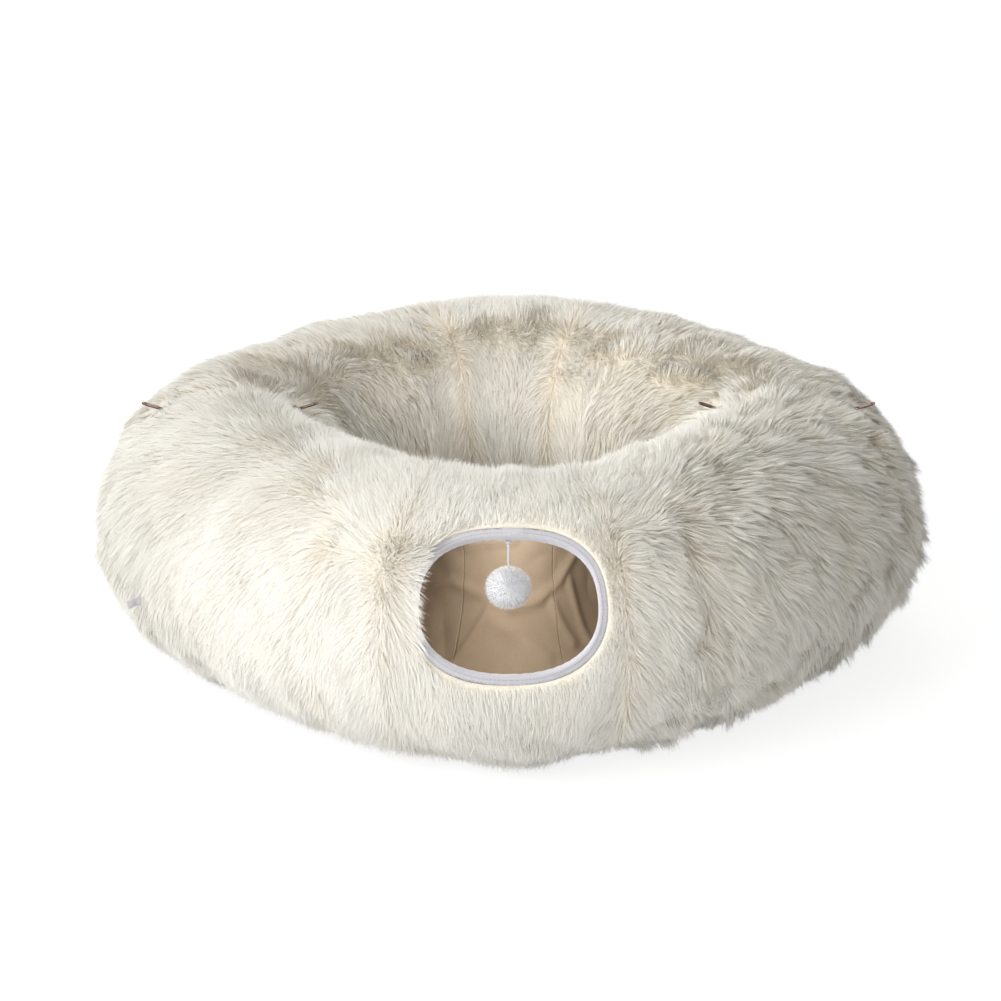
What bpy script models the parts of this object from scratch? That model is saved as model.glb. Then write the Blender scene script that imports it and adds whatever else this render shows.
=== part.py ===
"""Plush ring tunnel for cats: two half rings, front and rear, that zip together at the left and at the right.

Metres, +Z up, standing on z = 0, with the front entrance facing -Y. An azimuth is measured along a half ring
from the middle of its entrance: a quarter turn either way is a zip. An angle is measured round the tunnel's
section from its outward side, and rises towards the crown.
"""

import math

import bmesh
import bpy
from mathutils import Matrix, Vector

# Ring, seen from above: the centre line of the tunnel
RING_RADIUS = 0.294
RING_CORNERS = 4
CORNER_SHARE = 0.045

# Section of the tunnel, from the inside out
BORE_RADIUS = 0.125
LINING_THICKNESS = 0.0015
HOOP_WIRE = 0.0030
PLUSH_THICKNESS = 0.0165
FLOOR_FLATTENING = 0.0075
TOUCH_GAP = 0.0003
SECTION_POINTS = 20
HOOP_SIDES = 4

# Seams and folds
SEAM_AZIMUTH = math.radians(16)
QUARTER_TURN = math.radians(90)
SEAM_DEPTH = 0.006
SEAM_SPREAD = 0.022
PLEAT_AZIMUTH = math.radians(28)
PLEAT_DEPTH = 0.004
PLEAT_SPREAD = 0.014
PLEAT_TILT = math.radians(-20)
GATHERS = 20
GATHER_DEPTH = 0.011
GATHER_ANGLE = math.radians(145)
PLUSH_LEAST = 0.004
CENTRE_STEPS = 4
SIDE_STEPS = 8

# Entrance, with its sizes measured along the backing's curve
ENTRANCE_TILT = math.radians(28)
ENTRANCE_HALF_WIDTH = 0.0955
ENTRANCE_HALF_HEIGHT = 0.079
ENTRANCE_ROUNDNESS = 2.4
ENTRANCE_POINTS = 36
BINDING_WIDTH = 0.010
BINDING_EDGE = 0.0018
BINDING_TAPE = 0.0014

# Zip: a coil row along the edge of each tape, and two sliders at each side
ZIP_STEPS = 48
TAPE_WIDTH = 0.0150
TAPE_THICKNESS = 0.0012
ROW_SPACING = 0.0015
ROW_WIDTH = 0.0022
ROW_RISE = 0.0014
COLLAR_LENGTH = 0.012
SLIDER_LENGTH = 0.0150
SLIDER_TAPER = 0.0016
SLIDER_PLATE = 0.0014
SLIDER_FLANGE = 0.0012
SLIDER_PLAY = 0.0006
SLIDER_SIDE_PLAY = 0.0022
WEDGE_LENGTH = 0.0040
WEDGE_SETBACK = 0.0010
SLIDER_REST = math.radians(32)
STOP_REST = math.radians(9)
STOP_LENGTH = 0.0040
STOP_WIDTH = 0.0080
STOP_PLATE = 0.0012

# Pull tab and the arch that holds it
ARCH_WIDTH = 0.0022
ARCH_LENGTH = 0.0094
ARCH_WALL = 0.0011
PULL_BAR = 0.0018
PULL_PLAY = 0.0003
PULL_THICKNESS = 0.0012
PULL_EYE = 0.0066
PULL_WIDTH = 0.0076
PULL_LENGTH = 0.0240
PULL_HOLE_RADIUS = 0.0016
PULL_REST = math.radians(50)
ARC_STEPS = 8

# Pom-pom on its cord
KNOT_RADIUS = 0.0016
ANCHOR_LENGTH = 0.0060
ANCHOR_WIDTH = 0.0050
ANCHOR_THICKNESS = 0.0020
CORD_DIAMETER = 0.0020
CORD_LENGTH = 0.0380
CORD_POINTS = 9
POMPOM_RADIUS = 0.0200
POMPOM_SEGMENTS = 14
POMPOM_RINGS = 9
POMPOM_CORE = 0.0030

# Mat in the middle
MAT_RADIUS = 0.165
MAT_STEPS = 24
BASE_CLOTH = 0.0015
FOAM_THICKNESS = 0.0150
FOAM_INSET = 0.0100
MAT_PLUSH = 0.0080
MAT_CROWN = 0.0050
MAT_CHANNEL_SHARE = 0.72
MAT_CHANNEL_DEPTH = 0.0035
MAT_CHANNEL_HALF = 0.0080
MAT_CROWN_STEPS = 2
MAT_HUB = 0.0080
MAT_CORNER = 0.0040
MAT_TAB_STATION = 3
MAT_TAB_WIDTH = 0.020
MAT_TAB_THICKNESS = 0.0015
MAT_TAB_PLAY = 0.0014

# Bare tab sewn into the left side
TAB_STATION = 5
TAB_LENGTH = 0.0150
TAB_HEIGHT = 0.0090
TAB_THICKNESS = 0.0010

# How far a cutter or a joined part runs past the face that it meets
OVERRUN = 0.0004

# Edges sharper than this stay sharp where the rest is shaded smooth
SHARP_EDGE = math.radians(40)

FRONT = -1
REAR = 1
HALVES = {"front": FRONT, "rear": REAR}
SIDES = {"left": -1, "right": 1}
UP = Vector((0, 0, 1))
ACROSS = Vector((0, 1, 0))

# Sizes that follow
LINING_RADIUS = BORE_RADIUS + LINING_THICKNESS
HOOP_RADIUS = LINING_RADIUS + TOUCH_GAP + HOOP_WIRE / 2
BACKING_RADIUS = HOOP_RADIUS + HOOP_WIRE / 2 + TOUCH_GAP
PILE_RADIUS = BACKING_RADIUS + PLUSH_THICKNESS
AXIS_HEIGHT = PILE_RADIUS - FLOOR_FLATTENING
FACET_SHARE = math.cos(math.pi / SECTION_POINTS)
MIDDLE_AZIMUTH = (SEAM_AZIMUTH + QUARTER_TURN) / 2
FLANGE_INNER = ROW_SPACING / 2 + ROW_WIDTH + SLIDER_PLAY
FLANGE_OUTER = FLANGE_INNER + SLIDER_FLANGE
SLIDER_HALF_WIDTH = FLANGE_OUTER + SLIDER_TAPER
GROOVE_HALF = SLIDER_HALF_WIDTH + SLIDER_SIDE_PLAY
COLLAR_START = GROOVE_HALF + COLLAR_LENGTH
TAPE_OUTER = BACKING_RADIUS * FACET_SHARE - TOUCH_GAP
TAPE_INNER = TAPE_OUTER - TAPE_THICKNESS
ROW_OUTER = TAPE_OUTER + ROW_RISE
CHANNEL_OUTER = ROW_OUTER + SLIDER_PLAY
CHANNEL_INNER = TAPE_INNER - SLIDER_PLAY
SLIDER_TOP = CHANNEL_OUTER + SLIDER_PLATE
SLIDER_FOOT = CHANNEL_INNER - SLIDER_PLATE
BAR_CORNER = math.hypot(PULL_BAR, PULL_THICKNESS) / 2
PULL_AXIS = SLIDER_TOP + BAR_CORNER + PULL_PLAY
ARCH_INNER_TOP = PULL_AXIS + BAR_CORNER + PULL_PLAY
ENTRANCE_ARM = RING_RADIUS + BACKING_RADIUS * math.cos(ENTRANCE_TILT)


def material(name, colour, roughness, metallic=0.0):
    made = bpy.data.materials.new(name)
    made.use_nodes = True
    shader = made.node_tree.nodes["Principled BSDF"]
    shader.inputs["Base Color"].default_value = (*colour, 1)
    shader.inputs["Roughness"].default_value = roughness
    shader.inputs["Metallic"].default_value = metallic
    made.diffuse_color = (*colour, 1)
    return made


def add_object(name, data, look, smooth=True):
    thing = bpy.data.objects.new(name, data)
    bpy.context.scene.collection.objects.link(thing)
    data.materials.append(look)
    if smooth and isinstance(data, bpy.types.Mesh):
        data.shade_smooth()
        data.set_sharp_from_angle(angle=SHARP_EDGE)
    return thing


def mesh_of(name, bm):
    bmesh.ops.recalc_face_normals(bm, faces=bm.faces)
    mesh = bpy.data.meshes.new(name)
    bm.to_mesh(mesh)
    bm.free()
    return mesh


def bridge(bm, first, second):
    """Quads between two closed loops of the same number of vertices."""
    for i, start in enumerate(first):
        j = (i + 1) % len(first)
        bm.faces.new((start, first[j], second[j], second[i]))


def lofted(name, loops, cyclic=False):
    """A closed skin through closed loops of points: a ring if cyclic, and otherwise capped at both ends."""
    bm = bmesh.new()
    rows = [[bm.verts.new(point) for point in loop] for loop in loops]
    for first, second in zip(rows, rows[1:]):
        bridge(bm, first, second)
    if cyclic:
        bridge(bm, rows[-1], rows[0])
    else:
        bm.faces.new(rows[0])
        bm.faces.new(rows[-1])
    return mesh_of(name, bm)


def prism(name, outline, place, low, high):
    """A flat outline carried from low to high, where place(point, height) gives the corner."""
    return lofted(name, [[place(point, low) for point in outline], [place(point, high) for point in outline]])


def guide(name, mesh):
    """An object that only shapes another one."""
    thing = bpy.data.objects.new(name, mesh)
    bpy.context.scene.collection.objects.link(thing)
    thing.hide_render = True
    thing.display_type = "WIRE"
    return thing


def combined(name, mesh, operations):
    """The mesh after a row of (operation, mesh) Booleans."""
    base = guide(name + "_blank", mesh)
    helpers = []
    for kind, other in operations:
        helper = guide(name + "_helper", other)
        change = base.modifiers.new(kind.lower(), "BOOLEAN")
        change.operation = kind
        change.solver = "EXACT"
        change.object = helper
        helpers.append(helper)
    bpy.context.view_layer.update()
    shown = base.evaluated_get(bpy.context.evaluated_depsgraph_get())
    result = bpy.data.meshes.new_from_object(shown)
    result.name = name
    for thing in (base, *helpers):
        bpy.data.objects.remove(thing)
    return result


def plan_radius(azimuth):
    """The centre line's distance from the ring's axis: a circle drawn out at the entrances and zips."""
    return RING_RADIUS * (1 + CORNER_SHARE * math.cos(RING_CORNERS * azimuth)) / (1 + CORNER_SHARE)


def eased(share):
    share = min(max(share, 0), 1)
    return share * share * (3 - 2 * share)


def frame_at(half, azimuth, setback=None):
    """Centre and outward direction of the section at an azimuth. Towards the zips the halves draw apart."""
    if setback is None:
        ramp = (abs(azimuth) - MIDDLE_AZIMUTH) / (QUARTER_TURN - MIDDLE_AZIMUTH)
        setback = COLLAR_START * eased(ramp)
    radius = plan_radius(azimuth)
    sine, cosine = math.sin(azimuth), math.cos(azimuth)
    centre = Vector((radius * sine, half * (radius * cosine + setback), AXIS_HEIGHT))
    return centre, Vector((sine, half * cosine, 0))


def section_point(frame, angle, radius):
    centre, outward = frame
    return centre + (outward * math.cos(angle) + UP * math.sin(angle)) * radius


def fold(distance, spread):
    return math.exp(-((distance / spread) ** 2))


def pile_radius(azimuth, angle):
    """The plush surface: drawn in along its seams, pleated low on the outside, gathered inside below the crown."""
    along = RING_RADIUS * abs(azimuth)
    drawn = max(
        SEAM_DEPTH * fold(along - RING_RADIUS * SEAM_AZIMUTH, SEAM_SPREAD),
        SEAM_DEPTH * fold(along - RING_RADIUS * QUARTER_TURN, SEAM_SPREAD),
        SEAM_DEPTH / 2 * fold(along - RING_RADIUS * MIDDLE_AZIMUTH, SEAM_SPREAD),
    )
    low_outside = max(math.cos(angle - PLEAT_TILT), 0)
    drawn += PLEAT_DEPTH * low_outside * fold(along - RING_RADIUS * PLEAT_AZIMUTH, PLEAT_SPREAD)
    inside = max(math.cos(angle - GATHER_ANGLE), 0) ** 2
    drawn += GATHER_DEPTH * inside * (1 - math.cos(GATHERS * azimuth)) / 2
    return PILE_RADIUS - min(drawn, PLUSH_THICKNESS - PLUSH_LEAST)


def shell(name, half, stations, outer, inner):
    """A stretch of tunnel wall between two surfaces, open at both ends, over (azimuth, setback) stations."""
    bm = bmesh.new()
    turn = [2 * math.pi * i / SECTION_POINTS for i in range(SECTION_POINTS)]
    outer_rows, inner_rows = [], []
    for azimuth, setback in stations:
        frame = frame_at(half, azimuth, setback)
        row = [section_point(frame, angle, outer(azimuth, angle)) for angle in turn]
        for point in row:
            point.z = max(point.z, 0)
        outer_rows.append([bm.verts.new(point) for point in row])
        inner_rows.append([bm.verts.new(section_point(frame, angle, inner)) for angle in turn])
    for rows in (outer_rows, inner_rows):
        for first, second in zip(rows, rows[1:]):
            bridge(bm, first, second)
    bridge(bm, outer_rows[0], inner_rows[0])
    bridge(bm, outer_rows[-1], inner_rows[-1])
    return mesh_of(name, bm)


def spaced(start, end, steps):
    return [start + (end - start) * i / steps for i in range(steps + 1)]


def centre_stations(steps):
    edge = SEAM_AZIMUTH - TOUCH_GAP / 2 / (RING_RADIUS - PILE_RADIUS)
    return [(azimuth, None) for azimuth in spaced(-edge, edge, steps)]


def side_stations(side, steps):
    """From the centre panel's seam to the zip, with the straight collar last."""
    edge = SEAM_AZIMUTH + TOUCH_GAP / 2 / (RING_RADIUS - PILE_RADIUS)
    bend = spaced(edge, MIDDLE_AZIMUTH, steps // 2) + spaced(MIDDLE_AZIMUTH, QUARTER_TURN, steps // 2)[1:]
    return [(side * azimuth, None) for azimuth in bend] + [(side * QUARTER_TURN, GROOVE_HALF)]


def rounded(value):
    """A superellipse's share for a sine or cosine."""
    return math.copysign(abs(value) ** (2 / ENTRANCE_ROUNDNESS), value)


def entrance_point(half, turn, inset, radius):
    """A point on the entrance's outline, inset from the binding's outer edge, at a radius of the section."""
    azimuth = (ENTRANCE_HALF_WIDTH - inset) * rounded(math.cos(turn)) / ENTRANCE_ARM
    angle = ENTRANCE_TILT + (ENTRANCE_HALF_HEIGHT - inset) * rounded(math.sin(turn)) / BACKING_RADIUS
    return section_point(frame_at(half, azimuth), angle, radius)


def entrance_turns():
    return [2 * math.pi * i / ENTRANCE_POINTS for i in range(ENTRANCE_POINTS)]


def entrance_cutter(half, inset, low, high):
    """A plug of the entrance's outline that runs through the wall from one radius to another."""
    bm = bmesh.new()
    rows = []
    for radius in (low, high):
        rows.append([bm.verts.new(entrance_point(half, turn, inset, radius)) for turn in entrance_turns()])
    bridge(bm, *rows)
    for row, radius in zip(rows, (low, high)):
        middle = bm.verts.new(section_point(frame_at(half, 0), ENTRANCE_TILT, radius))
        for i, start in enumerate(row):
            bm.faces.new((start, row[(i + 1) % len(row)], middle))
    return mesh_of("entrance_cutter", bm)


def entrance_cut(name, mesh, half, inset, low, high):
    """The mesh with the entrance cut through it, running past both of its faces."""
    past = BINDING_WIDTH
    return combined(name, mesh, [("DIFFERENCE", entrance_cutter(half, inset, low - past, high + past))])


def make_covers(look):
    for end, half in HALVES.items():
        name = f"{end}_cover_centre"
        blank = shell(name, half, centre_stations(CENTRE_STEPS), pile_radius, BACKING_RADIUS)
        add_object(name, entrance_cut(name, blank, half, -TOUCH_GAP, BACKING_RADIUS, PILE_RADIUS), look)
        for side, sign in SIDES.items():
            name = f"{end}_cover_{side}"
            add_object(name, shell(name, half, side_stations(sign, SIDE_STEPS), pile_radius, BACKING_RADIUS), look)


def make_linings(look):
    def outer(azimuth, angle):
        return LINING_RADIUS

    for end, half in HALVES.items():
        name = f"{end}_lining_centre"
        blank = shell(name, half, centre_stations(CENTRE_STEPS), outer, BORE_RADIUS)
        inset = BINDING_WIDTH - BINDING_EDGE - TOUCH_GAP
        add_object(name, entrance_cut(name, blank, half, inset, BORE_RADIUS, LINING_RADIUS), look)
        for side, sign in SIDES.items():
            name = f"{end}_lining_{side}"
            add_object(name, shell(name, half, side_stations(sign, SIDE_STEPS), outer, BORE_RADIUS), look)


def hoop_mesh():
    """A wire ring round local Y, with a corner at each corner of the section."""
    loops = []
    for i in range(SECTION_POINTS):
        angle = 2 * math.pi * i / SECTION_POINTS
        out = Vector((math.cos(angle), 0, math.sin(angle)))
        loop = []
        for k in range(HOOP_SIDES):
            turn = 2 * math.pi * k / HOOP_SIDES
            loop.append(out * (HOOP_RADIUS + HOOP_WIRE / 2 * math.cos(turn)) + ACROSS * HOOP_WIRE / 2 * math.sin(turn))
        loops.append(loop)
    return lofted("hoop", loops, cyclic=True)


def make_hoops(look):
    mesh = hoop_mesh()
    mesh.materials.append(look)
    azimuths = (-QUARTER_TURN, -MIDDLE_AZIMUTH, -SEAM_AZIMUTH, SEAM_AZIMUTH, MIDDLE_AZIMUTH, QUARTER_TURN)
    for end, half in HALVES.items():
        for i, azimuth in enumerate(azimuths):
            centre, outward = frame_at(half, azimuth)
            hoop = bpy.data.objects.new(f"{end}_hoop_{i + 1}", mesh)
            bpy.context.scene.collection.objects.link(hoop)
            hoop.location = centre
            hoop.rotation_euler = (0, 0, math.atan2(outward.y, outward.x))
    mesh.shade_smooth()


def station_dip():
    """How far the flat stretch between two stations of a centre panel falls inside the true wall."""
    step = 2 * SEAM_AZIMUTH / CENTRE_STEPS
    start, middle, end = [section_point(frame_at(FRONT, k * step / 2), 0, BORE_RADIUS) for k in range(3)]
    return ((start + end) / 2 - middle).length


def binding_slot():
    """The lowest and highest radius between the binding's two lips."""
    return BORE_RADIUS * FACET_SHARE - station_dip() - TOUCH_GAP, BACKING_RADIUS - TOUCH_GAP


def make_bindings(look):
    """Tape folded round the entrance's edge, with the lining's edge held in its slot."""
    slot_low, slot_high = binding_slot()
    slot_depth = BINDING_WIDTH - BINDING_EDGE
    profile = [
        (0, slot_high + BINDING_TAPE),
        (0, slot_high),
        (slot_depth, slot_high),
        (slot_depth, slot_low),
        (0, slot_low),
        (0, slot_low - BINDING_TAPE),
        (BINDING_WIDTH, slot_low - BINDING_TAPE),
        (BINDING_WIDTH, slot_high + BINDING_TAPE),
    ]
    for end, half in HALVES.items():
        loops = []
        for turn in entrance_turns():
            loops.append([entrance_point(half, turn, inset, radius) for inset, radius in profile])
        add_object(f"{end}_entrance_binding", lofted("binding", loops, cyclic=True), look)


def band_loops(profile, steps):
    """A profile of (radius, across) points carried once round local Y."""
    loops = []
    for i in range(steps):
        angle = 2 * math.pi * i / steps
        out = Vector((math.cos(angle), 0, math.sin(angle)))
        loops.append([out * radius + ACROSS * across for radius, across in profile])
    return loops


def make_tapes(look):
    """A tape on each side of a zip, with the coil row standing on the edge that faces the other tape."""
    near = ROW_SPACING / 2
    step = near + ROW_WIDTH
    far = near + TAPE_WIDTH
    for side, sign in SIDES.items():
        for end, half in HALVES.items():
            profile = [
                (TAPE_INNER, half * near),
                (ROW_OUTER, half * near),
                (ROW_OUTER, half * step),
                (TAPE_OUTER, half * step),
                (TAPE_OUTER, half * far),
                (TAPE_INNER, half * far),
            ]
            mesh = lofted("tape", band_loops(profile, ZIP_STEPS), cyclic=True)
            tape = add_object(f"{side}_zip_{end}_tape", mesh, look)
            tape.location = (sign * RING_RADIUS, 0, AXIS_HEIGHT)


def rising(point, height):
    """Places an outline of (x, y) at a height."""
    return Vector((point[0], point[1], height))


def facing_out(point, height):
    """Places an outline of (y, z) at a distance along X."""
    return Vector((height, point[0], point[1]))


def facing_across(point, height):
    """Places an outline of (x, z) at a distance along Y."""
    return Vector((point[0], height, point[1]))


def box(low, high):
    """A box between two corners, in the slider's frame: out of the section, across, and towards the crown."""
    corners = [(low[0], low[1]), (high[0], low[1]), (high[0], high[1]), (low[0], high[1])]
    return prism("box", corners, rising, low[2], high[2])


def plate(low, high):
    """One of the slider's two plates: wider at the end towards the crown, with cut corners."""
    wide, narrow = SLIDER_HALF_WIDTH, FLANGE_OUTER
    long, cut = SLIDER_LENGTH / 2, SLIDER_TAPER
    half_outline = [(narrow - cut, -long), (narrow, cut - long), (wide, 0), (wide, long - cut), (wide - cut, long)]
    outline = half_outline + [(-across, along) for across, along in reversed(half_outline)]
    return prism("plate", outline, facing_out, low, high)


def slider_mesh():
    """Two plates, the flanges that hold the rows in, the wedge that parts them, and the arch for the pull."""
    row = ROW_SPACING / 2
    flange_half = SLIDER_LENGTH / 2 - SLIDER_TAPER
    wedge_top = SLIDER_LENGTH / 2 - WEDGE_SETBACK
    top = plate(CHANNEL_OUTER, SLIDER_TOP)
    parts = [plate(SLIDER_FOOT, CHANNEL_INNER)]
    for sign in SIDES.values():
        low, high = sorted((sign * FLANGE_INNER, sign * FLANGE_OUTER))
        foot = (TAPE_OUTER + SLIDER_PLAY, low, -flange_half)
        parts.append(box(foot, (CHANNEL_OUTER + OVERRUN, high, flange_half)))
    parts.append(
        box(
            (CHANNEL_INNER - OVERRUN, TOUCH_GAP - row, wedge_top - WEDGE_LENGTH),
            (CHANNEL_OUTER + OVERRUN, row - TOUCH_GAP, wedge_top),
        )
    )
    parts.append(arch_mesh())
    return combined("slider", top, [("UNION", part) for part in parts])


def arch_mesh():
    foot = SLIDER_TOP - OVERRUN
    inner_half = ARCH_LENGTH / 2 - ARCH_WALL
    outline = [
        (foot, -ARCH_LENGTH / 2),
        (ARCH_INNER_TOP, -ARCH_LENGTH / 2),
        (ARCH_INNER_TOP + ARCH_WALL, -inner_half),
        (ARCH_INNER_TOP + ARCH_WALL, inner_half),
        (ARCH_INNER_TOP, ARCH_LENGTH / 2),
        (foot, ARCH_LENGTH / 2),
        (foot, inner_half),
        (ARCH_INNER_TOP, inner_half),
        (ARCH_INNER_TOP, -inner_half),
        (foot, -inner_half),
    ]
    return prism("arch", outline, facing_across, -ARCH_WIDTH / 2, ARCH_WIDTH / 2)


def arc(centre, radius, start, end, steps=ARC_STEPS):
    return [
        (centre[0] + radius * math.cos(turn), centre[1] + radius * math.sin(turn)) for turn in spaced(start, end, steps)
    ]


def pull_mesh():
    """A flat tab that hangs from its bar, with an eye for the arch and a hole near its round end."""
    half = PULL_WIDTH / 2
    neck = ARCH_WIDTH / 2 + PULL_PLAY + PULL_BAR
    tip = PULL_LENGTH - half
    outline = [(neck, PULL_BAR / 2), (-neck, PULL_BAR / 2), (-neck, -PULL_EYE), (-half, -PULL_EYE - PULL_BAR)]
    outline += arc((0, -tip), half, math.pi, 2 * math.pi) + [(half, -PULL_EYE - PULL_BAR), (neck, -PULL_EYE)]
    thick = PULL_THICKNESS / 2
    cut = thick + OVERRUN
    eye = ARCH_WIDTH / 2 + PULL_PLAY
    slot = [(eye, -PULL_BAR / 2), (-eye, -PULL_BAR / 2), (-eye, -PULL_EYE), (eye, -PULL_EYE)]
    hole = arc((0, -tip), PULL_HOLE_RADIUS, 0, 2 * math.pi)[:-1]
    cuts = [prism("cut", shape, facing_out, -cut, cut) for shape in (slot, hole)]
    blank = prism("pull", outline, facing_out, -thick, thick)
    return combined("pull", blank, [("DIFFERENCE", shape) for shape in cuts])


def stop_mesh():
    """A clip with a plate on each face of the tapes and a web in the gap between the two rows."""
    web = ROW_SPACING / 2 - TOUCH_GAP
    half = STOP_WIDTH / 2
    outer_low = ROW_OUTER + TOUCH_GAP
    inner_high = TAPE_INNER * math.cos(math.pi / ZIP_STEPS) - TOUCH_GAP
    outline = [
        (outer_low, web),
        (outer_low, half),
        (outer_low + STOP_PLATE, half),
        (outer_low + STOP_PLATE, -half),
        (outer_low, -half),
        (outer_low, -web),
        (inner_high, -web),
        (inner_high, -half),
        (inner_high - STOP_PLATE, -half),
        (inner_high - STOP_PLATE, half),
        (inner_high, half),
        (inner_high, web),
    ]
    return prism("stop", outline, rising, -STOP_LENGTH / 2, STOP_LENGTH / 2)


def zip_pose(angle):
    """Rotation of a piece on a zip: local X out of the section, and local Z towards the crown."""
    turned = Matrix.Rotation(-angle, 4, "Y")
    if math.cos(angle) < 0:
        turned = turned @ Matrix.Rotation(math.pi, 4, "X")
    return turned.to_euler()


def make_zip_pieces(metal):
    slider = slider_mesh()
    pull = pull_mesh()
    stop = stop_mesh()
    for side, sign in SIDES.items():
        centre = (sign * RING_RADIUS, 0, AXIS_HEIGHT)
        for row, away in (("outer", sign), ("inner", -sign)):
            name = f"{side}_{row}"
            body = add_object(f"{name}_slider", slider.copy(), metal)
            body.location = centre
            body.rotation_euler = zip_pose(QUARTER_TURN - away * SLIDER_REST)
            tab = add_object(f"{name}_pull", pull.copy(), metal)
            tab.parent = body
            tab.location = (PULL_AXIS, 0, 0)
            tab.rotation_euler = (0, -PULL_REST, 0)
            end = add_object(f"{name}_zip_stop", stop.copy(), metal)
            end.location = centre
            end.rotation_euler = zip_pose(away * STOP_REST - QUARTER_TURN)


def make_pompom(tape, cord_look, fluff):
    """The knot swings in the binding's anchor, and carries the cord and the pom-pom."""
    lip = binding_slot()[0] - BINDING_TAPE
    edge = ENTRANCE_TILT + (ENTRANCE_HALF_HEIGHT - BINDING_WIDTH) / BACKING_RADIUS
    frame = frame_at(FRONT, 0)
    seat = lip * math.cos(math.pi / ENTRANCE_POINTS) - TOUCH_GAP
    low = edge + TOUCH_GAP / lip
    high = low + ANCHOR_LENGTH / lip
    side = Vector((ANCHOR_WIDTH / 2, 0, 0))
    loops = []
    for angle in (low, high):
        outer = section_point(frame, angle, seat)
        inner = section_point(frame, angle, seat - ANCHOR_THICKNESS)
        loops.append([outer - side, outer + side, inner + side, inner - side])
    add_object("cord_anchor", lofted("cord_anchor", loops), tape, smooth=False)

    hang = section_point(frame, low, seat - ANCHOR_THICKNESS - TOUCH_GAP - KNOT_RADIUS)
    bm = bmesh.new()
    bmesh.ops.create_icosphere(bm, subdivisions=2, radius=KNOT_RADIUS)
    knot = add_object("cord_knot", mesh_of("cord_knot", bm), cord_look)
    knot.location = hang

    curve = bpy.data.curves.new("pompom_cord", "CURVE")
    curve.dimensions = "3D"
    curve.bevel_depth = CORD_DIAMETER / 2
    curve.bevel_resolution = 2
    curve.use_fill_caps = True
    spline = curve.splines.new("POLY")
    spline.points.add(CORD_POINTS - 1)
    start = KNOT_RADIUS + TOUCH_GAP
    for point, depth in zip(spline.points, spaced(start, start + CORD_LENGTH, CORD_POINTS - 1)):
        point.co = (0, 0, -depth, 1)
    cord = add_object("pompom_cord", curve, cord_look)
    cord.location = hang

    bm = bmesh.new()
    bmesh.ops.create_uvsphere(bm, u_segments=POMPOM_SEGMENTS, v_segments=POMPOM_RINGS, radius=POMPOM_RADIUS)
    ball = mesh_of("pompom", bm)
    bore = CORD_DIAMETER / 2 + TOUCH_GAP
    circle = arc((0, 0), bore, 0, 2 * math.pi)[:-1]
    hole = prism("bore", circle, rising, POMPOM_CORE - TOUCH_GAP, POMPOM_RADIUS + POMPOM_CORE)
    pompom = add_object("pompom", combined("pompom", ball, [("DIFFERENCE", hole)]), fluff)
    pompom.location = hang - UP * (start + CORD_LENGTH + POMPOM_CORE)


def turned(name, profile, steps=MAT_STEPS):
    """A solid of revolution about Z through (radius, height) points that run from the axis back to it."""
    loops = []
    for radius, height in profile:
        angles = spaced(0, 2 * math.pi, steps)[:-1]
        loops.append([Vector((radius * math.cos(turn), radius * math.sin(turn), height)) for turn in angles])
    return lofted(name, loops)


def disc(name, radius, low, high):
    return turned(name, [(MAT_HUB, low), (radius, low), (radius, high), (MAT_HUB, high)])


def make_mat(plush, foam, cloth):
    """A plush cover over a foam disc, on a base cloth that rests on the floor."""
    add_object("mat_base_cloth", disc("base", MAT_RADIUS, 0, BASE_CLOTH), cloth)
    low = BASE_CLOTH + TOUCH_GAP
    high = low + FOAM_THICKNESS
    foam_radius = MAT_RADIUS - FOAM_INSET
    add_object("mat_foam", disc("foam", foam_radius, low, high), foam)
    inner = foam_radius + TOUCH_GAP
    under = high + TOUCH_GAP
    top = under + MAT_PLUSH
    channel = MAT_RADIUS * MAT_CHANNEL_SHARE
    crown = [
        (radius, top + MAT_CROWN * (1 - (radius / channel) ** 2))
        for radius in spaced(MAT_HUB, channel - MAT_CHANNEL_HALF, MAT_CROWN_STEPS)
    ]
    profile = crown + [
        (channel, top - MAT_CHANNEL_DEPTH),
        (channel + MAT_CHANNEL_HALF, top),
        (MAT_RADIUS - 2 * MAT_CORNER, top - MAT_CORNER),
        (MAT_RADIUS, top - 2 * MAT_CORNER),
        (MAT_RADIUS, low + MAT_CORNER),
        (MAT_RADIUS - MAT_CORNER / 2, low),
        (inner, low),
        (inner, under),
        (MAT_HUB, under),
    ]
    add_object("mat_plush_top", turned("top", profile), plush)


def mat_tab_reach(azimuth, height):
    """Distance from the ring's axis to the plush wall's lowest slanting strip, inside the ring, at a height."""
    step = 2 * math.pi / SECTION_POINTS
    strip = []
    for angle in (-QUARTER_TURN - step, -QUARTER_TURN - 2 * step):
        radius = pile_radius(azimuth, angle)
        strip.append((plan_radius(azimuth) + radius * math.cos(angle), AXIS_HEIGHT + radius * math.sin(angle)))
    (foot, low), (knee, high) = strip
    low = max(low, 0)
    return foot + (knee - foot) * (height - low) / (high - low)


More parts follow.
